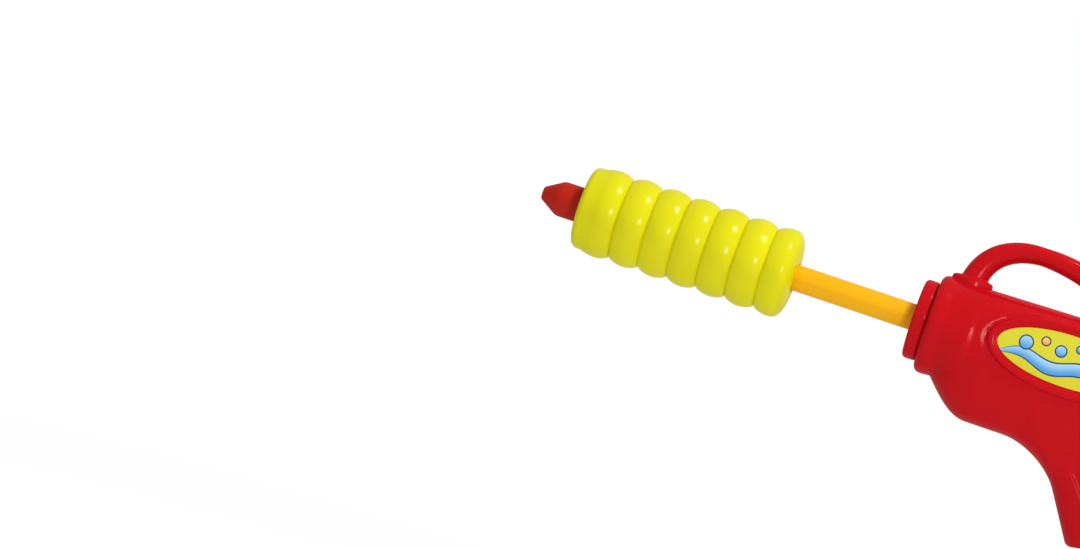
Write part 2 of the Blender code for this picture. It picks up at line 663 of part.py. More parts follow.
def make_cylinder(root):
    """The pump barrel with its front flange, and the plug and seal that close its rear."""
    profile = [(CYLINDER_FRONT, BORE_RADIUS), (CYLINDER_FRONT, FLANGE_RADIUS)]
    flange_back = CYLINDER_FRONT + CYLINDER_FLANGE_THICKNESS
    profile += [(flange_back, FLANGE_RADIUS), (flange_back, CYLINDER_RADIUS)]
    profile += [(CYLINDER_BACK, CYLINDER_RADIUS), (CYLINDER_BACK, BORE_RADIUS)]
    finish(turned("pump_cylinder", profile), root, WHITE, SATIN)
    groove = PLUG_FRONT + END_PLUG_LENGTH / 2
    body = BORE_RADIUS - GAP
    profile = [(PLUG_FRONT, 0), (PLUG_FRONT, body), *groove_section(groove), (CYLINDER_BACK + GAP, body)]
    profile += [(CYLINDER_BACK + GAP, CYLINDER_RADIUS), (PLUG_BACK, CYLINDER_RADIUS), (PLUG_BACK, 0)]
    finish(turned("cylinder_end_plug", profile), root, WHITE, SATIN)
    finish(turned("end_plug_seal", o_ring_section(groove)), root, BLACK, RUBBERY)


def o_ring_section(x):
    """A seal ring's round section in the pump bore, with its middle at x."""
    half = O_RING_THICKNESS / 2
    return arc(x, BORE_RADIUS - SEAL_GAP - half, half, 0, 360, 8)[:-1]


def groove_section(x):
    """The corners of the groove that such a ring sits in, front to rear."""
    half = O_RING_THICKNESS / 2 + GAP
    floor = BORE_RADIUS - SEAL_GAP - O_RING_THICKNESS - GAP
    rim = BORE_RADIUS - PISTON_SIDE_CLEARANCE
    return [(x - half, rim), (x - half, floor), (x + half, floor), (x + half, rim)]


def make_front_cap(root):
    """The cap that closes the barrel's front, with its gasket, rod bush and rod wiper."""
    radius = CAP_DIAMETER / 2
    pocket = ROD_HOLE_RADIUS + BUSH_WALL + GAP
    lip_back = CAP_FRONT + CAP_LIP
    neck = CYLINDER_RADIUS - 2 * GAP
    spigot = BORE_RADIUS - GAP
    profile = [(lip_back, pocket), (lip_back, ROD_HOLE_RADIUS), (CAP_FRONT, ROD_HOLE_RADIUS)]
    profile += arc(CAP_FRONT + CAP_EDGE_RADIUS, radius - CAP_EDGE_RADIUS, CAP_EDGE_RADIUS, 180, 90, 4)
    rear_edge = CAP_EDGE_RADIUS / 2
    profile += arc(CAP_BACK - rear_edge, radius - rear_edge, rear_edge, 90, 0, 2)
    profile += [(CAP_BACK, neck), (CAP_NECK_END, neck), (CAP_NECK_END, spigot)]
    profile += [(SPIGOT_END, spigot), (SPIGOT_END, pocket)]
    finish(turned("front_cap", profile), root, RED, GLOSSY)
    gasket = ring_section(GASKET_FRONT, GASKET_FRONT + GASKET_THICKNESS, BORE_RADIUS, neck)
    finish(turned("cap_gasket", gasket), root, BLACK, RUBBERY)
    wiper_front = lip_back + GAP
    wiper_back = wiper_front + WIPER_LENGTH
    inside = pocket - GAP
    wiper = ring_section(wiper_front, wiper_back, ROD_HOLE_RADIUS, inside)
    finish(turned("rod_wiper", wiper), root, BLACK, RUBBERY)
    bush = ring_section(wiper_back + GAP, SPIGOT_END - 2 * GAP, ROD_HOLE_RADIUS, inside)
    finish(turned("rod_guide_bush", bush), root, WHITE, SATIN)


def make_labels(root):
    """The thin oval stickers on the two pads."""
    half_length, half_height = PAD_LENGTH / 2 - LABEL_MARGIN, PAD_HEIGHT / 2 - LABEL_MARGIN
    for name, side in (("label_left", -1), ("label_right", 1)):
        levels = (PAD_FACE + GAP, PAD_FACE + GAP + LABEL_THICKNESS)
        label = loft(name, [oval_ring(half_length, half_height, side * y) for y in levels])
        finish(label, root, LABEL_YELLOW, SATIN)


def make_screws(root):
    """The six shell screws, heads on the right side, each with a six-sided driver socket."""
    for number, (x, z) in enumerate(screw_places(), 1):
        head_top = SCREW_SEAT + SCREW_HEAD_HEIGHT
        screw = cross_rod(f"body_screw_{number}", x, z, SCREW_HEAD_DIAMETER / 2, SCREW_SEAT, head_top)
        tip = SCREW_SEAT - SCREW_SHANK_LENGTH
        inside = SCREW_SEAT + SCREW_HEAD_HEIGHT / 3
        combine(screw, cross_rod("shank", x, z, SCREW_SHANK_DIAMETER / 2, tip, inside), "UNION")
        floor = head_top - SCREW_SOCKET_DEPTH
        socket = cross_rod("socket", x, z, SCREW_SOCKET_WIDTH / 2, floor, head_top + SCREW_SOCKET_DEPTH, 6)
        finish(combine(screw, socket, "DIFFERENCE"), root, STEEL, SATIN, metallic=1.0)


def make_piston(plunger, seals):
    """The piston on the tube's rear end: head, hollow retaining bolt, bump stop and two seals."""
    rim = BORE_RADIUS - PISTON_SIDE_CLEARANCE
    grooves = (PISTON_FRONT + O_RING_INSET, PISTON_BACK - O_RING_INSET)
    bolt_hole = RETAINER_SHANK_DIAMETER / 2 + GAP
    hub_end = TUBE_BACK + GAP
    profile = [(hub_end, bolt_hole), (hub_end, ROD_HOLE_RADIUS)]
    profile += [(PISTON_FRONT, ROD_HOLE_RADIUS), (PISTON_FRONT, rim)]
    for x in grooves:
        profile += groove_section(x)
    profile += [(PISTON_BACK, rim), (PISTON_BACK, bolt_hole)]
    finish(turned("piston_head", profile), plunger, WHITE, SATIN)
    for name, x in zip(("piston_o_ring_front", "piston_o_ring_rear"), grooves):
        finish(turned(name, o_ring_section(x)), seals, BLACK, RUBBERY)
    head_front = PISTON_BACK + GAP
    shank = RETAINER_SHANK_DIAMETER / 2
    tip = head_front - RETAINER_SHANK_LENGTH
    head, bore = RETAINER_HEAD_DIAMETER / 2, RETAINER_BORE / 2
    profile = [(tip, bore), (tip, shank), (head_front, shank), (head_front, head)]
    profile += [(RETAINER_BACK, head), (RETAINER_BACK, bore)]
    finish(turned("piston_retainer", profile, SLIM_SIDE_COUNT), plunger, WHITE, SATIN)
    bump_back = BUMP_FRONT + BUMP_STOP_THICKNESS
    bump = ring_section(BUMP_FRONT, bump_back, ROD_HOLE_RADIUS, BUMP_STOP_DIAMETER / 2)
    finish(turned("bump_stop", bump), plunger, BLACK, RUBBERY)


def make_plunger_tube(plunger):
    """The hollow rod, necked down where the grip slips over it."""
    shoulder = GRIP_BACK + GAP
    bore = TUBE_BORE / 2
    profile = [(TUBE_FRONT, bore), (TUBE_FRONT, NECK_RADIUS), (shoulder, NECK_RADIUS)]
    profile += [(shoulder, TUBE_RADIUS), (TUBE_BACK, TUBE_RADIUS), (TUBE_BACK, bore)]
    finish(turned("plunger_tube", profile, SLIM_SIDE_COUNT), plunger, ORANGE, GLOSSY)


def rib_profile():
    """(x, radius) over the ribs from the front to the rear: arcs that meet in sharp grooves."""
    root, crest = RIB_ROOT_DIAMETER / 2, RIB_CREST_DIAMETER / 2
    half = RIB_PITCH / 2
    rise = crest - root
    bend = (half**2 + rise**2) / (2 * rise)
    spread = math.degrees(math.asin(half / bend))
    points = []
    for i in range(RIB_COUNT):
        middle = GRIP_FRONT + GRIP_FRONT_LAND + RIB_PITCH * (i + 0.5)
        points += arc(middle, crest - bend, bend, 90 + spread, 90 - spread, 4)[1 if i else 0 :]
    return points


def make_ribbed_grip(plunger):
    """The hollow grip: a land at its front, seven round ribs, and an end wall at each end."""
    hole = NECK_RADIUS + GAP
    root = RIB_ROOT_DIAMETER / 2
    chamber = root - GRIP_WALL
    edge = GRIP_EDGE_RADIUS
    front_wall_back = GRIP_FRONT + GRIP_END_WALL
    profile = [(front_wall_back, chamber), (front_wall_back, hole), (GRIP_FRONT, hole)]
    profile += arc(GRIP_FRONT + edge, root - edge, edge, 180, 90, 4)
    ribs = rib_profile()
    profile += ribs[:-1]
    profile += [(GRIP_BACK, ribs[-1][1] - edge / 2), (GRIP_BACK, hole)]
    profile += [(GRIP_BACK - GRIP_END_WALL, hole), (GRIP_BACK - GRIP_END_WALL, chamber)]
    finish(turned("ribbed_grip", profile), plunger, YELLOW, GLOSSY)


def make_nozzle(plunger):
    """The nozzle on the tube's front end, and the seal ring inside it."""
    socket = NECK_RADIUS + GAP
    cone_back = NOZZLE_BACK - NOZZLE_BARREL
    orifice = NOZZLE_ORIFICE / 2
    profile = [(SOCKET_END, socket), (SOCKET_END, TUBE_BORE / 4), (NOZZLE_TIP, orifice)]
    profile += [(NOZZLE_TIP, NOZZLE_TIP_DIAMETER / 2), (cone_back, NOZZLE_DIAMETER / 2)]
    profile += [(NOZZLE_BACK, NOZZLE_DIAMETER / 2), (NOZZLE_BACK, socket)]
    finish(turned("nozzle", profile, SLIM_SIDE_COUNT), plunger, NOZZLE_RED, GLOSSY)
    front = SOCKET_END + GAP
    seal = ring_section(front, front + NOZZLE_SEAL_THICKNESS, TUBE_BORE / 4, NECK_RADIUS)
    finish(turned("nozzle_seal", seal, SLIM_SIDE_COUNT), plunger, BLACK, RUBBERY)


def make_empty(name, parent=None):
    """An empty that carries a group of pieces."""
    empty = bpy.data.objects.new(name, None)
    bpy.context.scene.collection.objects.link(empty)
    empty.parent = parent
    return empty


def main():
    clear_scene()
    root = make_empty("squirter_origin")
    seals = make_empty("slide_axis", root)
    plunger = make_empty("twist_axis", seals)
    make_shells(root)
    make_carry_handle(root)
    make_cylinder(root)
    make_front_cap(root)
    make_labels(root)
    make_screws(root)
    make_piston(plunger, seals)
    make_plunger_tube(plunger)
    make_ribbed_grip(plunger)
    make_nozzle(plunger)
    root.location = (-HAND_X, 0, -HAND_Z)


if __name__ == "__main__":
    main()
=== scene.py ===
"""Looks of a pump water squirter: its moulded housing, loop handle, ribbed grip, tube and nozzle.

The red mouldings are polygonised from distance fields, so that the pistol grip, the collar and
the label pads flow into the body. The turned pieces are spun from outlines with rounded corners.
The pump's inner pieces keep their construction meshes and get their finishes here.
"""

import json
import logging
import math
from collections.abc import Callable, Iterable, Sequence
from dataclasses import dataclass, field
from enum import Enum

import bmesh
import bpy
import numpy as np
from mathutils import Matrix, Vector


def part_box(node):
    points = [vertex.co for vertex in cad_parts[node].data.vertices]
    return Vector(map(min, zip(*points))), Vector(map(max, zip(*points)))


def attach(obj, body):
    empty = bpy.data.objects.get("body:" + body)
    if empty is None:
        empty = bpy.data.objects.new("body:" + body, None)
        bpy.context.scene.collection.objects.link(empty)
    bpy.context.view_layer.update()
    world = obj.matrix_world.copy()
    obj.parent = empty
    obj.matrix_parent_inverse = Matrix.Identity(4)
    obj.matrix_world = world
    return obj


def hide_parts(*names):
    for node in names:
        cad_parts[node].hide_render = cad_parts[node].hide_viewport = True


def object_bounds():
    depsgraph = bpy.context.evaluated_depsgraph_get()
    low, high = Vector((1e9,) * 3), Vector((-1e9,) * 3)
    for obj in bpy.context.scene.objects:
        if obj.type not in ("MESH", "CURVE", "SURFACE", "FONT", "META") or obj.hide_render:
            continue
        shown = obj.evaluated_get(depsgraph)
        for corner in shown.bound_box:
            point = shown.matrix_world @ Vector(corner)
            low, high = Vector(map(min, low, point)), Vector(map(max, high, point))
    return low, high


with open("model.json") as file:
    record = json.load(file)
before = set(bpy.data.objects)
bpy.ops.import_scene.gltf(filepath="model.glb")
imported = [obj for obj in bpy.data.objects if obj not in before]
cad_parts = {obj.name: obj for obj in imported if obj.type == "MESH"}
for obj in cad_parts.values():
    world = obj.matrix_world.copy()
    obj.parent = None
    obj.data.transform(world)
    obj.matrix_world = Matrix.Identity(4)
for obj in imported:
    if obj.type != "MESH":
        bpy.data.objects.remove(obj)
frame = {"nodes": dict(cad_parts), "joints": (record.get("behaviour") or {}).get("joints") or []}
CAD_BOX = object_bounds()

LOG = logging.getLogger("squirter")
MM = 0.001
Grid = np.ndarray
Field = Callable[[Grid, Grid, Grid], Grid]
Outline = list[tuple[float, float]]
LEAST_LEVEL = 1e-3
LEAST_REACH = 1e-6
POINT_RADIUS = 0.0005 * MM
WHITE = (1, 1, 1, 1)


class Body(Enum):
    """Bodies that move as one."""

    HOUSING = "housing"
    SEALS = "piston_seals"
    PLUNGER = "plunger"


class Slot(Enum):
    """The record's material slots."""

    RED = "red_plastic"
    NOZZLE = "nozzle_plastic"
    YELLOW = "yellow_plastic"
    ORANGE = "orange_plastic"
    WHITE = "white_plastic"
    RUBBER = "seal_rubber"
    LABEL = "label_film"
    STEEL = "screw_steel"


class Side(Enum):
    """The two sides of the housing, by the sign of Y."""

    LEFT = -1
    RIGHT = 1


@dataclass(frozen=True)
class PumpFrame:
    """Where the pump axis lies. Lengths along it are measured from the housing's front face."""

    front: float
    height: float

    @classmethod
    def read(cls) -> "PumpFrame":
        """Reads the axis height from the pump's joint and the front face from the shells."""
        joint = next(j for j in frame["joints"] if j["type"] == "hinge")
        return cls(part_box("body_shell_left")[0].x, joint["pos_m"][2])

    def place(self, thing: bpy.types.Object) -> bpy.types.Object:
        """Moves a mesh from the pump's own frame to the part's frame."""
        thing.data.transform(Matrix.Translation((self.front, 0, self.height)))
        return thing


@dataclass(frozen=True)
class RoundNode:
    """Extent of a turned construction node in the pump's frame."""

    front: float
    back: float
    radius: float

    @classmethod
    def read(cls, name: str, pump: PumpFrame) -> "RoundNode":
        """Reads a node's ends along the axis and its largest radius.

        Args:
            name: the node.
            pump: the pump's frame.

        Returns:
            The node's extent.
        """
        points = np.array([vert.co for vert in frame["nodes"][name].data.vertices])
        radius = np.hypot(points[:, 1], points[:, 2] - pump.height).max()
        ends = points[:, 0] - pump.front
        return cls(float(ends.min()), float(ends.max()), float(radius))


def round_meet(first: Grid, second: Grid, radius: float | Grid) -> Grid:
    """Common part of two fields, its edge rounded to a radius.

    Args:
        first: distances to one solid, negative inside.
        second: distances to the other.
        radius: radius of the rounded edge.

    Returns:
        Distances to the common part.
    """
    u, v = first + radius, second + radius
    outside = np.hypot(np.maximum(u, 0), np.maximum(v, 0))
    return outside + np.minimum(np.maximum(u, v), 0) - radius


def round_union(first: Grid, second: Grid, radius: float | Grid) -> Grid:
    """Union of two fields with a fillet of the given radius where they meet."""
    return -round_meet(-first, -second, radius)


def radial(reach: Grid, level: Grid) -> Grid:
    """Distance to a form's skin along the ray from its middle.

    Args:
        reach: how far each point is from the form's middle.
        level: the form's level there, which is 1 on its skin.

    Returns:
        Distances to the skin, negative inside.
    """
    level = np.maximum(level, LEAST_LEVEL)
    return np.maximum(reach, LEAST_REACH) * (1 - 1 / level)


def ease(value: Grid) -> Grid:
    """A smooth step from 0 to 1 as the value goes from 0 to 1."""
    share = np.clip(value, 0, 1)
    return share**2 * (3 - 2 * share)


def dome(x: Grid, y: Grid, z: Grid, half: Sequence[float], power: float = 2.0) -> Grid:
    """Field of a rounded boss about the origin.

    Args:
        x: places along its length.
        y: places across it.
        z: heights from its middle.
        half: its half sizes.
        power: 2 for an ellipsoid; a higher power gives it steeper sides.

    Returns:
        Distances to the skin, negative inside.
    """
    flat, tall = np.hypot(x / half[0], y / half[1]), np.abs(z / half[2])
    level = (flat**power + tall**power) ** (1 / power)
    return radial(np.sqrt(x**2 + y**2 + z**2), level)


@dataclass(frozen=True)
class FieldMesher:
    """Polygonises the zero level of a field with one point in each cell that it crosses."""

    step: float
    settle_rounds: int = 4
    smooth_rounds: int = 2
    nudge_parts: int = 50
    least_slope: float = 0.05
    longest_move: float = 0.6

    def build(
        self, name: str, shape: Field, low: Sequence[float], high: Sequence[float]
    ) -> bpy.types.Object:
        """Makes a smooth closed mesh.

        Args:
            name: the object's name.
            shape: the field, negative inside.
            low: lowest corner of the space that holds the shape.
            high: its highest corner.

        Returns:
            The new object, linked to the scene.
        """
        counts = [math.ceil((b - a) / self.step) + 1 for a, b in zip(low, high)]
        axes = [a + self.step * np.arange(count) for a, count in zip(low, counts)]
        values = shape(*np.meshgrid(*axes, indexing="ij", sparse=True))
        inside = values < 0
        cells, index = self._mixed_cells(inside)
        points = np.array(low) + (cells + 0.5) * self.step
        faces = self._faces(inside, index)
        points = self._settle(points, shape, self.settle_rounds)
        for _ in range(self.smooth_rounds):
            points = self._settle(self._relax(points, faces), shape, 1)
        return mesh_object(name, points, faces)

    @staticmethod
    def _mixed_cells(inside: Grid) -> tuple[Grid, Grid]:
        """Finds the cells that the surface crosses.

        Args:
            inside: whether each grid point lies inside.

        Returns:
            The cells' places in the grid, and a grid with each one's number.
        """
        total = np.zeros([n - 1 for n in inside.shape], np.int8)
        for corner in np.ndindex(2, 2, 2):
            total += inside[tuple(slice(c, n - 1 + c) for c, n in zip(corner, inside.shape))]
        mixed = (total > 0) & (total < 8)
        index = np.full(mixed.shape, -1, np.int64)
        index[mixed] = np.arange(mixed.sum())
        return np.argwhere(mixed), index

    @staticmethod
    def _faces(inside: Grid, index: Grid) -> Grid:
        """Makes one quad round each grid edge whose ends lie on different sides of the surface.

        Args:
            inside: whether each grid point lies inside.
            index: the number of each crossed cell.

        Returns:
            The quads' corners, by the cells' numbers.
        """
        faces = []
        for axis in range(3):
            side_a, side_b = (axis + 1) % 3, (axis + 2) % 3
            core = [slice(1, -1)] * 3
            core[axis] = slice(0, -1)
            ahead = list(core)
            ahead[axis] = slice(1, None)
            here, there = inside[tuple(core)], inside[tuple(ahead)]
            spots = np.argwhere(here != there)
            spots[:, [side_a, side_b]] += 1
            corners = []
            for back_a, back_b in ((1, 1), (0, 1), (0, 0), (1, 0)):
                cell = spots.copy()
                cell[:, side_a] -= back_a
                cell[:, side_b] -= back_b
                corners.append(index[tuple(cell.T)])
            quads = np.stack(corners, 1)
            leaving = here[here != there]
            faces.append(np.where(leaving[:, None], quads, quads[:, ::-1]))
        return np.concatenate(faces)

    @staticmethod
    def _relax(points: Grid, faces: Grid) -> Grid:
        """Moves each point half way to the middle of its neighbours, so that the quads even out.

        Args:
            points: the mesh's points.
            faces: its quads.

        Returns:
            The moved points.
        """
        pairs = [np.stack([faces, np.roll(faces, turn, 1)], 2) for turn in (1, -1)]
        ends = np.concatenate([pair.reshape(-1, 2) for pair in pairs])
        count = np.bincount(ends[:, 0], minlength=len(points))
        sums = [np.bincount(ends[:, 0], points[ends[:, 1], axis], len(points)) for axis in range(3)]
        return (points + np.stack(sums, 1) / count[:, None]) / 2

    def _settle(self, points: Grid, shape: Field, rounds: int) -> Grid:
        """Draws points onto the zero level along the field's slope.

        Args:
            points: the mesh's points.
            shape: the field.
            rounds: how often they are drawn.

        Returns:
            The moved points.
        """
        nudge = self.step / self.nudge_parts
        offsets = np.eye(3) * nudge
        for _ in range(rounds):
            rises = [shape(*(points + o).T) - shape(*(points - o).T) for o in offsets]
            slope = np.stack([rise / (2 * nudge) for rise in rises], 1)
            value = shape(*points.T)
            size = np.maximum((slope**2).sum(1), self.least_slope)
            move = -slope * (value / size)[:, None]
            furthest = self.step * self.longest_move
            reach = np.maximum(np.linalg.norm(move, axis=1) / furthest, 1)
            points = points + move / reach[:, None]
        return points


def linked(name: str, mesh: bpy.types.Mesh) -> bpy.types.Object:
    """Puts a mesh into a new object of the scene.

    Args:
        name: the object's name.
        mesh: its mesh.

    Returns:
        The object.
    """
    thing = bpy.data.objects.new(name, mesh)
    bpy.context.scene.collection.objects.link(thing)
    return thing


def from_edit(name: str, bm: bmesh.types.BMesh) -> bpy.types.Object:
    """Puts an edit mesh, which is used up, into a new object of the scene.

    Args:
        name: the object's name.
        bm: the edit mesh.

    Returns:
        The object.
    """
    mesh = bpy.data.meshes.new(name)
    bm.to_mesh(mesh)
    bm.free()
    return linked(name, mesh)


def mesh_object(name: str, points: Iterable, faces: Iterable) -> bpy.types.Object:
    """Makes an object of the scene from points and faces.

    Args:
        name: the object's name.
        points: the places of its points.
        faces: the points' numbers round each face.

    Returns:
        The object.
    """
    mesh = bpy.data.meshes.new(name)
    mesh.from_pydata([tuple(p) for p in points], [], [tuple(int(i) for i in f) for f in faces])
    mesh.update()
    return linked(name, mesh)


def smooth(thing: bpy.types.Object, sharp: float = 38) -> bpy.types.Object:
    """Shades a piece smooth.

    Args:
        thing: the piece.
        sharp: the angle in degrees over which an edge stays sharp.

    Returns:
        The piece.
    """
    thing.data.shade_smooth()
    thing.data.set_sharp_from_angle(angle=math.radians(sharp))
    return thing


def cut(thing: bpy.types.Object, tool: bpy.types.Object) -> None:
    """Cuts a tool, which is used up, out of a piece.

    Args:
        thing: the piece.
        tool: a closed mesh.
    """
    modifier = thing.modifiers.new("cut", "BOOLEAN")
    modifier.object, modifier.operation, modifier.solver = tool, "DIFFERENCE", "EXACT"
    graph = bpy.context.evaluated_depsgraph_get()
    mesh = bpy.data.meshes.new_from_object(thing.evaluated_get(graph))
    thing.modifiers.clear()
    thing.data = mesh
    bpy.data.objects.remove(tool, do_unlink=True)


def join(name: str, things: Sequence[bpy.types.Object]) -> bpy.types.Object:
    """Joins several meshes into one object.

    Args:
        name: the new object's name.
        things: the objects, which are used up.

    Returns:
        The new object.
    """
    bm = bmesh.new()
    for thing in things:
        bm.from_mesh(thing.data)
        bpy.data.objects.remove(thing, do_unlink=True)
    return from_edit(name, bm)


def rounded(corners: Sequence[tuple[float, float, float]], steps: int = 6) -> Outline:
    """A closed outline of (x, radius) points with an arc in place of each corner.

    Args:
        corners: (x, radius, corner radius), in order round the outline.
        steps: points on each arc, less one.

    Returns:
        The outline's points.
    """
    points: Outline = []
    for i, (x, r, fillet) in enumerate(corners):
        here = Vector((x, r))
        if fillet <= 0:
            points.append((x, r))
            continue
        before = (Vector(corners[i - 1][:2]) - here).normalized()
        after = (Vector(corners[(i + 1) % len(corners)][:2]) - here).normalized()
        half = before.angle(after) / 2
        start = here + before * (fillet / math.tan(half))
        end = here + after * (fillet / math.tan(half))
        middle = here + (before + after).normalized() * (fillet / math.sin(half))
        for k in range(steps + 1):
            spoke = (start - middle).normalized().slerp((end - middle).normalized(), k / steps)
            points.append(tuple(middle + fillet * spoke))
    return points


def ringed(name: str, rings: Sequence[Sequence[tuple]], loop: bool) -> bpy.types.Object:
    """Skins a solid over rings of equally many points.

    Args:
        name: the object's name.
        rings: the points of each ring, in order.
        loop: whether the last ring joins the first. Otherwise a face closes each end.

    Returns:
        The object, its faces turned outwards.
    """
    count, sides = len(rings), len(rings[0])
    faces: list[tuple[int, ...]] = []
    if not loop:
        faces = [tuple(range(sides)), tuple(range((count - 1) * sides, count * sides))]
    for i in range(count if loop else count - 1):
        low, high = i * sides, (i + 1) % count * sides
        for k in range(sides):
            after = (k + 1) % sides
            faces.append((low + k, low + after, high + after, high + k))
    thing = mesh_object(name, [point for ring in rings for point in ring], faces)
    bm = bmesh.new()
    bm.from_mesh(thing.data)
    bmesh.ops.recalc_face_normals(bm, faces=bm.faces)
    bm.to_mesh(thing.data)
    bm.free()
    return thing


def turned(name: str, outline: Outline, sides: int = 96) -> bpy.types.Object:
    """Spins a closed outline about the pump axis.

    Args:
        name: the object's name.
        outline: its (x, radius) points.
        sides: how many sides the turn has.

    Returns:
        The solid.
    """
    angles = 2 * math.pi * np.arange(sides) / sides
    rings = [[(x, r * math.cos(a), r * math.sin(a)) for a in angles] for x, r in outline]
    return ringed(name, rings, loop=True)


def cross_turned(
    name: str, outline: Outline, x: float, z: float, sides: int = 32
) -> bpy.types.Object:
    """Spins an outline about a line along Y.

    Args:
        name: the object's name.
        outline: (y, radius) points that start and end on the line.
        x: where the line lies along the pump axis.
        z: its height from the axis.
        sides: how many sides the turn has.

    Returns:
        The solid.
    """
    angles = [2 * math.pi * k / sides for k in range(sides)]
    rings = []
    for y, radius in outline:
        reach = max(radius, POINT_RADIUS)
        rings.append([(x + reach * math.sin(a), y, z + reach * math.cos(a)) for a in angles])
    return ringed(name, rings, loop=False)


class NodeSketch:
    """A node tree that is being drawn."""

    def __init__(self, tree: bpy.types.NodeTree) -> None:
        """Holds the tree."""
        self.tree = tree

    def add(self, kind: str, settings: dict | None = None, **inputs: object) -> bpy.types.Node:
        """Adds a node.

        Args:
            kind: the node's type.
            settings: attributes to set on the node.
            inputs: values or output sockets by input name, with _ for a space, or by number
                as i0, i1.

        Returns:
            The node.
        """
        node = self.tree.nodes.new(kind)
        for name, value in (settings or {}).items():
            setattr(node, name, value)
        for name, value in inputs.items():
            key = int(name[1:]) if name[0] == "i" and name[1:].isdigit() else name.replace("_", " ")
            socket = node.inputs[key]
            if isinstance(value, bpy.types.NodeSocket):
                self.tree.links.new(value, socket)
            else:
                socket.default_value = value
        return node

    def math(self, operation: str, *values: object) -> bpy.types.NodeSocket:
        """A Math node's output."""
        inputs = {f"i{i}": value for i, value in enumerate(values)}
        return self.add("ShaderNodeMath", {"operation": operation}, **inputs).outputs[0]

    def mix(self, factor: object, first: object, second: object) -> bpy.types.NodeSocket:
        """A colour mix's output."""
        node = self.add("ShaderNodeMix", {"data_type": "RGBA"}, i0=factor, i6=first, i7=second)
        return node.outputs[2]

    def noise(self, vector: object, scale: float, detail: float = 2.0) -> bpy.types.NodeSocket:
        """A noise texture's value."""
        node = self.add("ShaderNodeTexNoise", None, Vector=vector, Scale=scale, Detail=detail)
        return node.outputs[0]

    def ramp(self, value: object, low: float, high: float) -> bpy.types.NodeSocket:
        """A value's place between two levels, from 0 to 1."""
        settings = {"interpolation_type": "SMOOTHSTEP"}
        return self.add("ShaderNodeMapRange", settings, i0=value, i1=low, i2=high).outputs[0]


def new_group(
    name: str, inputs: dict[str, tuple[str, object]], outputs: dict[str, str]
) -> bpy.types.NodeTree:
    """A shader node group with named sockets.

    Args:
        name: the group's name.
        inputs: socket type and default value by name.
        outputs: socket type by name.

    Returns:
        The empty group.
    """
    group = bpy.data.node_groups.new(name, "ShaderNodeTree")
    for label, (kind, value) in inputs.items():
        socket = group.interface.new_socket(label, in_out="INPUT", socket_type=f"NodeSocket{kind}")
        socket.default_value = value
    for label, kind in outputs.items():
        group.interface.new_socket(label, in_out="OUTPUT", socket_type=f"NodeSocket{kind}")
    return group


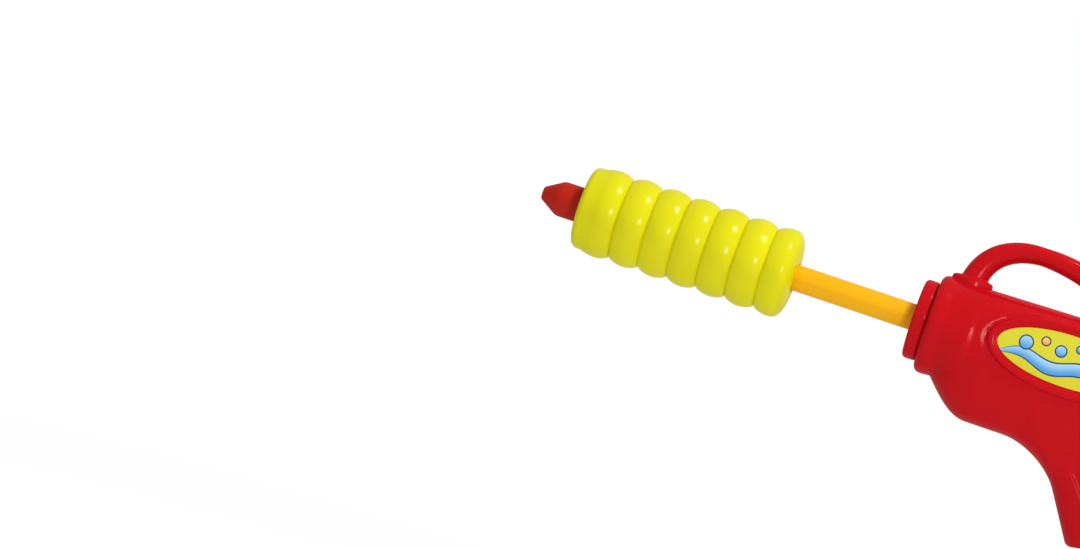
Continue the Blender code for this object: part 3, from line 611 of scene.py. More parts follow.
@dataclass(frozen=True)
class MouldedSurface:
    """The surface of moulded plastic: faint mottling, flow ripple, haze and hairline scratches."""

    mottle_scale: float = 26.0
    mottle_levels: tuple[float, float] = (0.32, 0.72)
    speck_scale: float = 420.0
    speck_levels: tuple[float, float] = (0.55, 0.8)
    speck_share: float = 0.35
    scratch_scales: tuple[float, float, float] = (60, 900, 2600)
    scratch_turn: tuple[float, float, float] = (0, 0.32, 0.1)
    scratch_levels: tuple[float, float] = (0.63, 0.72)
    scratch_depth: float = 0.12
    patch_scale: float = 48.0
    patch_levels: tuple[float, float] = (0.48, 0.68)
    ripple_scale: float = 70.0
    ripple_height: float = 0.55
    grain_scale: float = 1500.0
    grain_height: float = 0.03

    def group(self) -> bpy.types.NodeTree:
        """Makes the node group that every finish uses with its own values.

        Returns:
            The group.
        """
        group = new_group(
            "moulded_surface",
            {
                "Colour": ("Color", (0.8, 0.8, 0.8, 1)),
                "Shade": ("Color", (0.7, 0.7, 0.7, 1)),
                "Mottle": ("Float", 0.3),
                "Roughness": ("Float", 0.3),
                "Haze": ("Float", 0.08),
                "Scratches": ("Float", 0.1),
            },
            {"Colour": "Color", "Roughness": "Float", "Height": "Float"},
        )
        sketch = NodeSketch(group)
        given = sketch.add("NodeGroupInput").outputs
        place = sketch.add("ShaderNodeTexCoord").outputs["Object"]
        broad = sketch.noise(place, self.mottle_scale, 3.0)
        fine = sketch.ramp(sketch.noise(place, self.speck_scale, 3.0), *self.speck_levels)
        scratch = sketch.math("MULTIPLY", self._scratches(sketch, place), given["Scratches"])
        mottle = sketch.ramp(broad, *self.mottle_levels)
        mottle = sketch.math("MULTIPLY", mottle, given["Mottle"])
        speck = sketch.math("MULTIPLY", given["Mottle"], self.speck_share)
        speck = sketch.math("MULTIPLY", fine, speck)
        colour = sketch.math("ADD", mottle, speck)
        colour = sketch.mix(colour, given["Colour"], given["Shade"])
        haze = sketch.math("MULTIPLY", sketch.math("SUBTRACT", broad, 0.5), given["Haze"])
        rough = sketch.math("ADD", sketch.math("ADD", given["Roughness"], haze), scratch)
        height = self._height(sketch, place, scratch)
        sketch.add("NodeGroupOutput", None, Colour=colour, Roughness=rough, Height=height)
        return group

    def _scratches(self, sketch: NodeSketch, place: object) -> bpy.types.NodeSocket:
        """Draws hairlines that run along the piece and show in patches.

        Args:
            sketch: the group's tree.
            place: the place on the piece.

        Returns:
            1 on a hairline and 0 elsewhere.
        """
        stretched = sketch.add(
            "ShaderNodeMapping",
            None,
            Vector=place,
            Scale=self.scratch_scales,
            Rotation=self.scratch_turn,
        ).outputs[0]
        hairline = sketch.ramp(sketch.noise(stretched, 1.0, 4.0), *self.scratch_levels)
        patchy = sketch.ramp(sketch.noise(place, self.patch_scale, 2.0), *self.patch_levels)
        return sketch.math("MULTIPLY", hairline, patchy)

    def _height(
        self, sketch: NodeSketch, place: object, scratch: object
    ) -> bpy.types.NodeSocket:
        """Adds up the flow ripple, the fine grain and the scratches.

        Args:
            sketch: the group's tree.
            place: the place on the piece.
            scratch: how strong a scratch is there.

        Returns:
            The height for the bump.
        """
        ripple = sketch.noise(place, self.ripple_scale, 1.0)
        grain = sketch.noise(place, self.grain_scale, 2.0)
        height = sketch.math("MULTIPLY", ripple, self.ripple_height)
        height = sketch.math("ADD", height, sketch.math("MULTIPLY", grain, self.grain_height))
        depth = sketch.math("MULTIPLY", scratch, self.scratch_depth)
        return sketch.math("SUBTRACT", height, depth)


@dataclass(frozen=True)
class Plastic:
    """A moulded plastic or rubber finish.

    Its gloss is a coat, which stays weak where the form turns away.
    """

    name: str
    colour: tuple[float, float, float]
    shade: tuple[float, float, float]
    roughness: float
    specular: float = 0.5
    gloss: float = 0.0
    mottle: float = 0.5
    haze: float = 0.1
    scratches: float = 0.12
    ripple: float = 0.12 * MM

    def material(self, surface: bpy.types.NodeTree) -> bpy.types.Material:
        """Makes the material.

        Args:
            surface: the moulded surface group.

        Returns:
            The material.
        """
        made = bpy.data.materials.new(self.name)
        made.use_nodes = True
        sketch = NodeSketch(made.node_tree)
        shader = made.node_tree.nodes["Principled BSDF"]
        skin = sketch.add(
            "ShaderNodeGroup",
            {"node_tree": surface},
            Colour=(*self.colour, 1),
            Shade=(*self.shade, 1),
            Mottle=self.mottle,
            Roughness=self.roughness,
            Haze=self.haze,
            Scratches=self.scratches,
        )
        height = skin.outputs["Height"]
        bump = sketch.add("ShaderNodeBump", None, Distance=self.ripple, Height=height)
        bump.inputs["Strength"].default_value = 1.0
        links = made.node_tree.links
        links.new(skin.outputs["Colour"], shader.inputs["Base Color"])
        links.new(skin.outputs["Roughness"], shader.inputs["Roughness"])
        links.new(bump.outputs[0], shader.inputs["Normal"])
        shader.inputs["Specular IOR Level"].default_value = self.specular
        shader.inputs["Coat Weight"].default_value = self.gloss
        shader.inputs["Coat Roughness"].default_value = self.roughness
        return made


@dataclass(frozen=True)
class Steel:
    """The zinc-plated finish of the screws."""

    name: str = "plated_screw_steel"
    colour: tuple[float, float, float] = (0.56, 0.57, 0.58)
    shade: tuple[float, float, float] = (0.40, 0.40, 0.38)
    roughness: float = 0.3
    mottle: float = 0.8
    scratches: float = 0.25

    def material(self, surface: bpy.types.NodeTree) -> bpy.types.Material:
        """Makes the material.

        Args:
            surface: the moulded surface group.

        Returns:
            The material.
        """
        base = Plastic(
            self.name,
            self.colour,
            self.shade,
            self.roughness,
            mottle=self.mottle,
            scratches=self.scratches,
        )
        made = base.material(surface)
        made.node_tree.nodes["Principled BSDF"].inputs["Metallic"].default_value = 1.0
        return made


@dataclass(frozen=True)
class LabelPrint:
    """A printed film: a wave ribbon and bubbles on a yellow ground."""

    name: str
    middle: tuple[float, float]
    half: tuple[float, float]
    ground: tuple[float, float, float] = (0.72, 0.67, 0.03)
    ground_low: tuple[float, float, float] = (0.66, 0.58, 0.02)
    blue: tuple[float, float, float] = (0.08, 0.34, 0.72)
    pale: tuple[float, float, float] = (0.38, 0.67, 0.92)
    navy: tuple[float, float, float] = (0.012, 0.05, 0.17)
    orange: tuple[float, float, float] = (0.86, 0.40, 0.04)
    pale_orange: tuple[float, float, float] = (0.93, 0.62, 0.18)
    bubbles: tuple[tuple[float, float, float], ...] = (
        (-0.62, 0.20, 0.25),
        (-0.37, 0.47, 0.15),
        (-0.14, 0.28, 0.20),
        (0.10, 0.56, 0.13),
        (0.33, 0.40, 0.17),
        (0.63, 0.31, 0.24),
    )
    roughness: float = 0.3
    specular: float = 0.2
    mottle: float = 0.12
    scratches: float = 0.2
    fade: tuple[float, float] = (0.4, -0.9)
    fade_depth: float = 0.5
    wave_turns: float = 7.2
    wave_swing: float = 0.14
    wave_low: float = 0.34
    wave_half: float = 0.235
    wave_edge: float = 0.295
    wave_crest: tuple[float, float] = (-0.2, 0.22)
    taper_power: float = 3.0
    taper_least: float = 0.05
    ring: float = 0.055
    blur: float = 0.015

    def material(self, surface: bpy.types.NodeTree) -> bpy.types.Material:
        """Makes the material.

        Args:
            surface: the moulded surface group, for the film's own texture.

        Returns:
            The material.
        """
        base = Plastic(
            self.name,
            self.ground,
            self.ground_low,
            self.roughness,
            self.specular,
            mottle=self.mottle,
            scratches=self.scratches,
        )
        made = base.material(surface)
        sketch = NodeSketch(made.node_tree)
        place = sketch.add("ShaderNodeTexCoord").outputs["Object"]
        split = sketch.add("ShaderNodeSeparateXYZ", None, Vector=place).outputs
        u = sketch.math("DIVIDE", sketch.math("SUBTRACT", split[0], self.middle[0]), self.half[0])
        v = sketch.math("DIVIDE", sketch.math("SUBTRACT", split[2], self.middle[1]), self.half[1])
        colour = self._wave(sketch, u, v, self._ground(sketch, made, v))
        for number, bubble in enumerate(self.bubbles):
            warm = number % 3 == 1
            tints = (self.orange, self.pale_orange) if warm else (self.blue, self.pale)
            colour = self._bubble(sketch, u, v, colour, bubble, tints)
        shader = made.node_tree.nodes["Principled BSDF"]
        made.node_tree.links.new(colour, shader.inputs["Base Color"])
        return made

    def _ground(self, sketch: NodeSketch, made: bpy.types.Material, v: object) -> object:
        """Makes the yellow ground, deeper towards the film's lower edge.

        Args:
            sketch: the material's tree.
            made: the material.
            v: height on the film, from -1 to 1.

        Returns:
            The ground's colour.
        """
        skin = next(node for node in made.node_tree.nodes if node.type == "GROUP")
        fade = sketch.math("MULTIPLY", sketch.ramp(v, *self.fade), self.fade_depth)
        return sketch.mix(fade, skin.outputs["Colour"], (*self.ground_low, 1))

    def _wave(self, sketch: NodeSketch, u: object, v: object, under: object) -> object:
        """Lays the wave ribbon over the ground: a navy edge, a blue band and a pale crest.

        Args:
            sketch: the material's tree.
            u: place along the film, from -1 to 1.
            v: height on the film, from -1 to 1.
            under: the colour beneath.

        Returns:
            The colour with the ribbon.
        """
        turns = sketch.math("SINE", sketch.math("MULTIPLY", u, self.wave_turns))
        swing = sketch.math("MULTIPLY", turns, self.wave_swing)
        offset = sketch.math("SUBTRACT", sketch.math("ADD", v, self.wave_low), swing)
        ends = sketch.math("POWER", sketch.math("ABSOLUTE", u), self.taper_power)
        taper = sketch.math("MAXIMUM", sketch.math("SUBTRACT", 1.0, ends), self.taper_least)
        depth = sketch.math("DIVIDE", sketch.math("ABSOLUTE", offset), taper)
        pales = sketch.ramp(offset, *self.wave_crest)
        band = sketch.mix(pales, (*self.blue, 1), (*self.pale, 1))
        edge = sketch.ramp(depth, self.wave_edge, self.wave_edge - self.blur)
        edged = sketch.mix(edge, under, (*self.navy, 1))
        inner = sketch.ramp(depth, self.wave_half, self.wave_half - self.blur)
        return sketch.mix(inner, edged, band)

    def _bubble(
        self, sketch: NodeSketch, u: object, v: object, under: object, place: tuple, tints: tuple
    ) -> object:
        """Lays one bubble over the print: a ring and a fill that pales upwards.

        Args:
            sketch: the material's tree.
            u: place along the film, from -1 to 1.
            v: height on the film, from -1 to 1.
            under: the colour beneath.
            place: the bubble's (u, v) and its radius in half heights.
            tints: its colours at the bottom and at the top.

        Returns:
            The colour with the bubble.
        """
        stretch = self.half[0] / self.half[1]
        du = sketch.math("MULTIPLY", sketch.math("SUBTRACT", u, place[0]), stretch)
        dv = sketch.math("SUBTRACT", v, place[1])
        squares = [sketch.math("POWER", side, 2.0) for side in (du, dv)]
        away = sketch.math("SQRT", sketch.math("ADD", *squares))
        radius, rim = place[2], place[2] + self.ring
        outlined = sketch.mix(sketch.ramp(away, rim, rim - self.blur), under, (*self.navy, 1))
        fill = sketch.mix(sketch.ramp(dv, -radius, radius), (*tints[0], 1), (*tints[1], 1))
        return sketch.mix(sketch.ramp(away, radius, radius - self.blur), outlined, fill)


@dataclass
class Finishes:
    """Every finish of the object, made once."""

    made: dict[Slot, bpy.types.Material] = field(default_factory=dict)
    surface: bpy.types.NodeTree | None = None

    def prepare(self) -> "Finishes":
        """Makes the shared group and the materials.

        Returns:
            The finishes, ready for use.
        """
        self.surface = MouldedSurface().group()
        plastics = {
            Slot.RED: Plastic(
                "glossy_red_plastic",
                (0.58, 0.004, 0.009),
                (0.52, 0.004, 0.009),
                roughness=0.16,
                specular=0.0,
                gloss=0.13,
                scratches=0.03,
            ),
            Slot.NOZZLE: Plastic(
                "dark_red_plastic",
                (0.52, 0.020, 0.008),
                (0.43, 0.015, 0.008),
                roughness=0.3,
                specular=0.0,
                gloss=0.16,
            ),
            Slot.YELLOW: Plastic(
                "glossy_yellow_plastic",
                (0.80, 0.75, 0.004),
                (0.74, 0.68, 0.004),
                roughness=0.2,
                specular=0.0,
                gloss=0.28,
            ),
            Slot.ORANGE: Plastic(
                "orange_tube_plastic",
                (0.97, 0.48, 0.006),
                (0.93, 0.44, 0.006),
                roughness=0.3,
                specular=0.0,
                gloss=0.24,
            ),
            Slot.WHITE: Plastic(
                "natural_white_plastic",
                (0.78, 0.78, 0.74),
                (0.70, 0.70, 0.65),
                roughness=0.42,
            ),
            Slot.RUBBER: Plastic(
                "black_seal_rubber",
                (0.02, 0.02, 0.02),
                (0.035, 0.033, 0.03),
                roughness=0.6,
                haze=0.2,
            ),
        }
        for slot, finish in plastics.items():
            self.made[slot] = finish.material(self.surface)
        self.made[Slot.STEEL] = Steel().material(self.surface)
        return self

    def dress(self, thing: bpy.types.Object, slot: Slot) -> None:
        """Puts a slot's material on a piece."""
        thing.data.materials.clear()
        thing.data.materials.append(self.made[slot])


def mount(thing: bpy.types.Object, body: Body, slot: Slot, *nodes: str) -> bpy.types.Object:
    """Rides a new piece on a body in place of construction nodes and reports it.

    Args:
        thing: the piece.
        body: the body that carries it.
        slot: its material slot; not used.
        nodes: the nodes that it stands for.

    Returns:
        The piece.
    """
    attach(thing, body.value)
    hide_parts(*nodes)
    LOG.info("%s rides on %s, %d faces", thing.name, body.value, len(thing.data.polygons))
    return thing


@dataclass
class Housing:
    """The two half shells: barrel body, collar, label pads and pistol grip, hollow inside."""

    pump: PumpFrame
    body_top: float = 24.8 * MM
    body_gap: float = 0.3 * MM
    half_width: float = 26.0 * MM
    power: float = 2.8
    top_slope: float = math.radians(1.3)
    belly_depth: float = 41.0 * MM
    belly_run: float = 24.0 * MM
    back: float = 147.7 * MM
    rear_round: float = 34.0 * MM
    wall: float = 2.2 * MM
    front_wall: float = 2.8 * MM
    collar_radius: float = 25.3 * MM
    collar_length: float = 8.7 * MM
    collar_edge: float = 3.5 * MM
    collar_taper: float = 0.45 * MM
    collar_blend: float = 0.7 * MM
    mouth_radius: float = 17.85 * MM
    strap_x: float = 73.0 * MM
    rake: float = math.radians(31.7)
    front_blend: float = 18.0 * MM
    side_blend: float = 9.0 * MM
    back_blend: float = 9.5 * MM
    pistol_depth: float = 42.0 * MM
    pistol_width: float = 33.0 * MM
    pistol_length: float = 50.3 * MM
    pistol_power: float = 2.4
    pistol_top: float = -40.5 * MM
    base_tilt: float = math.radians(12.0)
    base_edge: float = 2.2 * MM
    crease_from: tuple[float, float] = (8.7 * MM, -22.0 * MM)
    crease_rise: float = 0.26
    crease_depth: float = 2.4 * MM
    crease_width: float = 3.8 * MM
    crease_start: float = 4.0 * MM
    crease_end: float = 38.0 * MM
    crease_sides: float = 2.0
    neck_swell: float = 0.75 * MM
    neck_end: float = 20.9 * MM
    neck_step: float = 4.0 * MM
    neck_z: float = -3.0 * MM
    neck_half: float = 15.0 * MM
    pad_middle: tuple[float, float] = (72.2 * MM, 3.0 * MM)
    pad_half: tuple[float, float] = (41.0 * MM, 17.5 * MM)
    pad_face: float = 26.8 * MM
    pad_edge: float = 2.4 * MM
    pad_blend: float = 0.8 * MM
    pad_flare: float = 0.9
    flare_run: float = 1.4
    pad_top: float = 22.4 * MM
    moat_half: tuple[float, float] = (45.2 * MM, 20.4 * MM)
    moat_depth: float = 0.75 * MM
    moat_wall: float = 3.2 * MM
    bead_inset: float = 1.8 * MM
    bead_middle: float = 25.1 * MM
    bead_radius: float = 2.4 * MM
    bead_blend: float = 0.8 * MM
    panel_sunk: float = 1.1 * MM
    panel_corner: tuple[float, float] = (86.6 * MM, -43.2 * MM)
    panel_rake: float = math.radians(40.0)
    panel_depth: float = 19.0 * MM
    panel_margin: float = 8.0 * MM
    panel_round: float = 4.0 * MM
    panel_back: float = 0.5
    panel_edge: float = 1.0 * MM
    bulkheads: tuple[float, ...] = (5.8 * MM, 80.0 * MM, 103.3 * MM)
    bulkhead_thickness: float = 2.5 * MM
    bulkhead_low: float = -24.0 * MM
    barrel_hole: float = 18.3 * MM
    post_radius: float = 4.8 * MM
    seam: float = 0.3 * MM
    seam_gap: float = 0.02 * MM
    well_floor: float = 5.7 * MM
    well_mouth: float = 60 * MM
    well_radius: float = 3.2 * MM
    lowest: float = -95 * MM
    headroom: float = 8 * MM
    step: float = 0.95 * MM

    def body(self, x: Grid, y: Grid, z: Grid) -> Grid:
        """Field of the barrel body, round at the collar and squarer behind it.

        Args:
            x: places along the pump axis.
            y: places across it.
            z: heights from it.

        Returns:
            Distances to the skin, negative inside.
        """
        start = self.collar_length + self.body_gap
        share = np.clip((x - start) / self.belly_run, 0, 1)
        power = 2 + (self.power - 2) * share
        width = self.body_top + (self.half_width - self.body_top) * share
        top = self.body_top + math.tan(self.top_slope) * np.maximum(x - start, 0)
        low = self.body_top + (self.belly_depth - self.body_top) * np.sin(share * math.pi / 2)
        height = np.where(z > 0, top, low)
        rear = np.maximum(x - (self.back - self.rear_round), 0) / self.rear_round
        level = np.abs(y / width) ** power + np.abs(z / height) ** power + rear**power
        level = level ** (1 / power)
        reach = np.sqrt(y**2 + z**2 + (rear * self.rear_round) ** 2)
        line = self.crease_from[1] + self.crease_rise * (x - self.crease_from[0])
        fade = np.clip((self.crease_end - x) / (self.crease_end - self.crease_from[0]), 0, 1) ** 2
        fade = fade * np.clip((x - self.collar_length) / self.crease_start, 0, 1)
        dent = self.crease_depth * np.exp(-(((z - line) / self.crease_width) ** 2)) * fade
        sides = np.clip(np.abs(y) / self.half_width * self.crease_sides, 0, 1)
        return radial(reach, level) + dent * sides

    def _along(self, x: Grid, z: Grid) -> Grid:
        """Place across the pistol grip, from -1 on its front strap to 1 on its back."""
        middle = self.strap_x + self.pistol_depth / 2 + (self.pistol_top - z) * math.tan(self.rake)
        return (x - middle) / (self.pistol_depth / 2)

    def _base(self, x: Grid, z: Grid) -> Grid:
        """Finds how far places lie below the pistol grip's tilted base.

        Args:
            x: places along the pump axis.
            z: heights from it.

        Returns:
            Distances, negative above the base.
        """
        corner_x = self.strap_x + self.pistol_length * math.sin(self.rake)
        corner_z = self.pistol_top - self.pistol_length * math.cos(self.rake)
        return (x - corner_x) * math.sin(self.base_tilt) - (z - corner_z) * math.cos(self.base_tilt)

    def pistol(self, x: Grid, y: Grid, z: Grid) -> Grid:
        """Field of the raked pistol grip with its tilted base and sunk side panels.

        Args:
            x: places along the pump axis.
            y: places across it.
            z: heights from it.

        Returns:
            Distances to the skin, negative inside.
        """
        along, across = self._along(x, z), y / (self.pistol_width / 2)
        depth = self.pistol_depth / 2 * math.cos(self.rake)
        power = self.pistol_power
        level = (np.abs(along) ** power + np.abs(across) ** power) ** (1 / power)
        sides = radial(np.hypot(along * depth, y), level)
        base = self._base(x, z)
        grip = np.maximum(round_meet(sides, base, self.base_edge), z - self.pistol_top / 2)
        lean = (x - self.panel_corner[0]) - (self.panel_corner[1] - z) * math.tan(self.panel_rake)
        half = self.panel_depth / 2
        region = np.abs(lean * math.cos(self.panel_rake) - half) - half
        region = round_meet(region, z - self.panel_corner[1] + 0 * x, self.panel_round)
        region = round_meet(region, base + self.panel_margin, self.panel_round)
        region = round_meet(region, (along - self.panel_back) * depth, self.panel_round)
        panel = round_meet(-sides - self.panel_sunk, region + 0 * y, self.panel_edge)
        return round_meet(grip, -panel, self.panel_edge)

    def form(self, x: Grid, y: Grid, z: Grid) -> Grid:
        """Field of body and grip, with a fillet that is widest at the front strap.

        Args:
            x: places along the pump axis.
            y: places across it.
            z: heights from it.

        Returns:
            Distances to the skin, negative inside.
        """
        along = np.clip(self._along(x, z), -1, 1)
        swell = (self.front_blend + self.back_blend) / 2 - self.side_blend
        change = (self.back_blend - self.front_blend) / 2
        fillet = self.side_blend + change * along + swell * along**2
        return round_union(self.body(x, y, z), self.pistol(x, y, z), fillet)

    def _neck(self, x: Grid, z: Grid) -> Grid:
        """Height of the low swelling behind the collar, which ends in a soft step on each side."""
        along = np.clip(x / self.neck_end, 0, 1) * (1 - ease((x - self.neck_end) / self.neck_step))
        return self.neck_swell * along * np.exp(-(((z - self.neck_z) / self.neck_half) ** 2))

    def outer(self, x: Grid, y: Grid, z: Grid) -> Grid:
        """Field of the whole outer skin, with the collar and the beaded label pads.

        Args:
            x: places along the pump axis.
            y: places across it.
            z: heights from it.

        Returns:
            Distances to the skin, negative inside.
        """
        form = np.maximum(self.form(x, y, z) - self._neck(x, z), self.collar_length / 2 - x)
        round_axis = np.hypot(y, z)
        taper = self.collar_taper * ease(2 * x / self.collar_length - 1)
        collar = round_meet(round_axis - self.collar_radius + taper, -x + 0 * y, self.collar_edge)
        collar = np.maximum(collar, x - self.collar_length)
        pad_x, pad_z = x - self.pad_middle[0], z - self.pad_middle[1]
        level = np.hypot(pad_x / self.pad_half[0], pad_z / self.pad_half[1])
        rim = radial(np.hypot(pad_x, pad_z), level)
        flare = self.pad_flare * ease(self.flare_run * pad_x / self.pad_half[0])
        skirt = (rim - flare * (self.pad_face - np.abs(y))) / np.hypot(1, flare)
        pad = round_meet(skirt, np.abs(y) - self.pad_face, self.pad_edge)
        pad = round_meet(pad, z - self.pad_top + 0 * y, self.pad_edge)
        pad = np.maximum(pad, self.pad_face / 2 - np.abs(y))
        skin = round_union(form, collar, self.collar_blend)
        level = np.hypot(pad_x / self.moat_half[0], pad_z / self.moat_half[1])
        moat = radial(np.hypot(pad_x, pad_z), level)
        skin = skin + self.moat_depth * ease(-moat / self.moat_wall)
        bead = np.hypot(rim + self.bead_inset, np.abs(y) - self.bead_middle) - self.bead_radius
        skin = round_union(skin, pad, self.pad_blend)
        return round_union(skin, bead, self.bead_blend)

    def shell(self, x: Grid, y: Grid, z: Grid) -> Grid:
        """Field of the hollow shells with their bulkheads and screw posts.

        Args:
            x: places along the pump axis.
            y: places across it.
            z: heights from it.

        Returns:
            Distances to the skin, negative inside.
        """
        form = self.form(x, y, z)
        hollow = np.maximum(form + self.wall, self.front_wall - x)
        shell = np.maximum(self.outer(x, y, z), -hollow)
        inside = form + self.wall / 2
        round_axis = np.hypot(y, z)
        for front in self.bulkheads:
            plate = np.maximum(front - x, x - front - self.bulkhead_thickness)
            plate = np.maximum(np.maximum(plate, self.bulkhead_low - z), inside)
            if front != self.bulkheads[-1]:
                plate = np.maximum(plate, self.barrel_hole - round_axis)
            shell = np.minimum(shell, plate)
        for post_x, post_z in screw_places(self.pump):
            post = np.hypot(x - post_x, z - post_z) - self.post_radius
            shell = np.minimum(shell, np.maximum(post, inside))
        mouth = np.maximum(round_axis - self.mouth_radius, x - 2 * self.front_wall)
        return np.maximum(shell, -mouth)

    def build(self, finishes: Finishes) -> None:
        """Builds both half shells and dresses them.

        Args:
            finishes: the object's finishes.
        """
        margin = 4 * self.step
        low = (-margin, -self.pad_face - margin, self.lowest)
        high = (self.back + margin, self.pad_face + margin, self.collar_radius + self.headroom)
        whole = FieldMesher(self.step).build("shell_form", self.shell, low, high)
        for side, node in ((Side.LEFT, "body_shell_left"), (Side.RIGHT, "body_shell_right")):
            half = self._half(whole, side)
            if side is Side.RIGHT:
                self._bore_screws(half)
            self.pump.place(smooth(half))
            finishes.dress(half, Slot.RED)
            mount(half, Body.HOUSING, Slot.RED, node)
        bpy.data.objects.remove(whole, do_unlink=True)

    def _half(self, whole: bpy.types.Object, side: Side) -> bpy.types.Object:
        """Cuts the form flat beside the seam, which opens into a groove at the outer skin.

        Args:
            whole: the form of both shells.
            side: the half that is wanted.

        Returns:
            The half shell.
        """
        bm = bmesh.new()
        bm.from_mesh(whole.data)
        geometry = bm.verts[:] + bm.edges[:] + bm.faces[:]
        plane = Vector((0, side.value * self.seam_gap / 2, 0))
        cut_edges = bmesh.ops.bisect_plane(
            bm, geom=geometry, plane_co=plane, plane_no=(0, -side.value, 0), clear_outer=True
        )["geom_cut"]
        rim = [item for item in cut_edges if isinstance(item, bmesh.types.BMEdge)]
        edge = [item for item in cut_edges if isinstance(item, bmesh.types.BMVert)]
        depth = self.outer(*np.array([vert.co for vert in edge]).T)
        for vert, level in zip(edge, depth):
            if level > -self.wall / 4:
                vert.co.y = side.value * self.seam / 2
        bmesh.ops.triangle_fill(bm, edges=rim, use_beauty=True, normal=(0, -side.value, 0))
        bmesh.ops.recalc_face_normals(bm, faces=bm.faces)
        return from_edit(f"{side.name.lower()}_shell_moulding", bm)

    def _bore_screws(self, half: bpy.types.Object) -> None:
        """Bores the screw wells into the right shell.

        Args:
            half: the shell.
        """
        floor, mouth, radius = self.well_floor, self.well_mouth, self.well_radius
        outline = [(floor, 0), (floor, radius), (mouth, radius), (mouth, 0)]
        places = screw_places(self.pump)
        cut(half, join("wells", [cross_turned("well", outline, x, z) for x, z in places]))


def screw_places(pump: PumpFrame) -> list[tuple[float, float]]:
    """Reads from the construction nodes where the shell screws stand.

    Args:
        pump: the pump's frame.

    Returns:
        Each screw's (x, z) in that frame.
    """
    places = []
    for name in sorted(node for node in frame["nodes"] if node.startswith("body_screw_")):
        low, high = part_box(name)
        places.append(((low.x + high.x) / 2 - pump.front, (low.z + high.z) / 2 - pump.height))
    return places


@dataclass
class Screws:
    """The shell screws, with domed heads and cross recesses."""

    pump: PumpFrame
    head_radius: float = 2.9 * MM
    shank_radius: float = 1.4 * MM
    seat: float = 6.0 * MM
    head_height: float = 2.0 * MM
    length: float = 16.0 * MM
    thread_pitch: float = 1.1 * MM
    slot_width: float = 0.75 * MM
    slot_reach: float = 1.7 * MM
    slot_depth: float = 1.2 * MM
    point_length: float = 1.6 * MM
    point_share: float = 0.7
    root_place: float = 0.3
    root_share: float = 0.75
    crest_place: float = 0.65
    plain_length: float = 1.5 * MM
    neck_share: float = 0.85
    brim: float = 0.3
    crown: float = 0.7
    crown_steps: int = 6
    sharp: float = 30

    def outline(self) -> Outline:
        """Draws half of a screw's section.

        Returns:
            (y, radius) points from the point to the top of the head.
        """
        tip = self.seat - self.length
        y = tip + self.point_length
        root = self.shank_radius * self.root_share
        points: Outline = [(tip, 0.0), (y, self.shank_radius * self.point_share)]
        while y < self.seat - self.plain_length:
            points.append((y + self.root_place * self.thread_pitch, root))
            points.append((y + self.crest_place * self.thread_pitch, self.shank_radius))
            y += self.thread_pitch
        points.append((self.seat, self.shank_radius * self.neck_share))
        points.append((self.seat, self.head_radius))
        for k in range(self.crown_steps + 1):
            a = math.pi / 2 * k / self.crown_steps
            rise = self.head_height * (self.brim + self.crown * math.sin(a))
            points.append((self.seat + rise, self.head_radius * math.cos(a)))
        return points

    def build(self, finishes: Finishes) -> None:
        """Builds and dresses each screw.

        Args:
            finishes: the object's finishes.
        """
        top = self.seat + self.head_height
        arms = (self.slot_reach, self.slot_width / 2)
        for number, (x, z) in enumerate(screw_places(self.pump), 1):
            screw = cross_turned(f"shell_screw_{number}", self.outline(), x, z)
            for wide, tall in (arms, arms[::-1]):
                low = (x - wide, top - self.slot_depth, z - tall)
                high = (x + wide, top + MM, z + tall)
                cut(screw, block("recess", low, high))
            self.pump.place(smooth(screw, self.sharp))
            finishes.dress(screw, Slot.STEEL)
            mount(screw, Body.HOUSING, Slot.STEEL, f"body_screw_{number}")


def block(name: str, low: Sequence[float], high: Sequence[float]) -> bpy.types.Object:
    """Makes a cutter's box between two corners.

    Args:
        name: the object's name.
        low: its lowest corner.
        high: its highest corner.

    Returns:
        The box.
    """
    bm = bmesh.new()
    bmesh.ops.create_cube(bm, size=1)
    for vert in bm.verts:
        vert.co = [low[i] + (vert.co[i] + 0.5) * (high[i] - low[i]) for i in range(3)]
    return from_edit(name, bm)


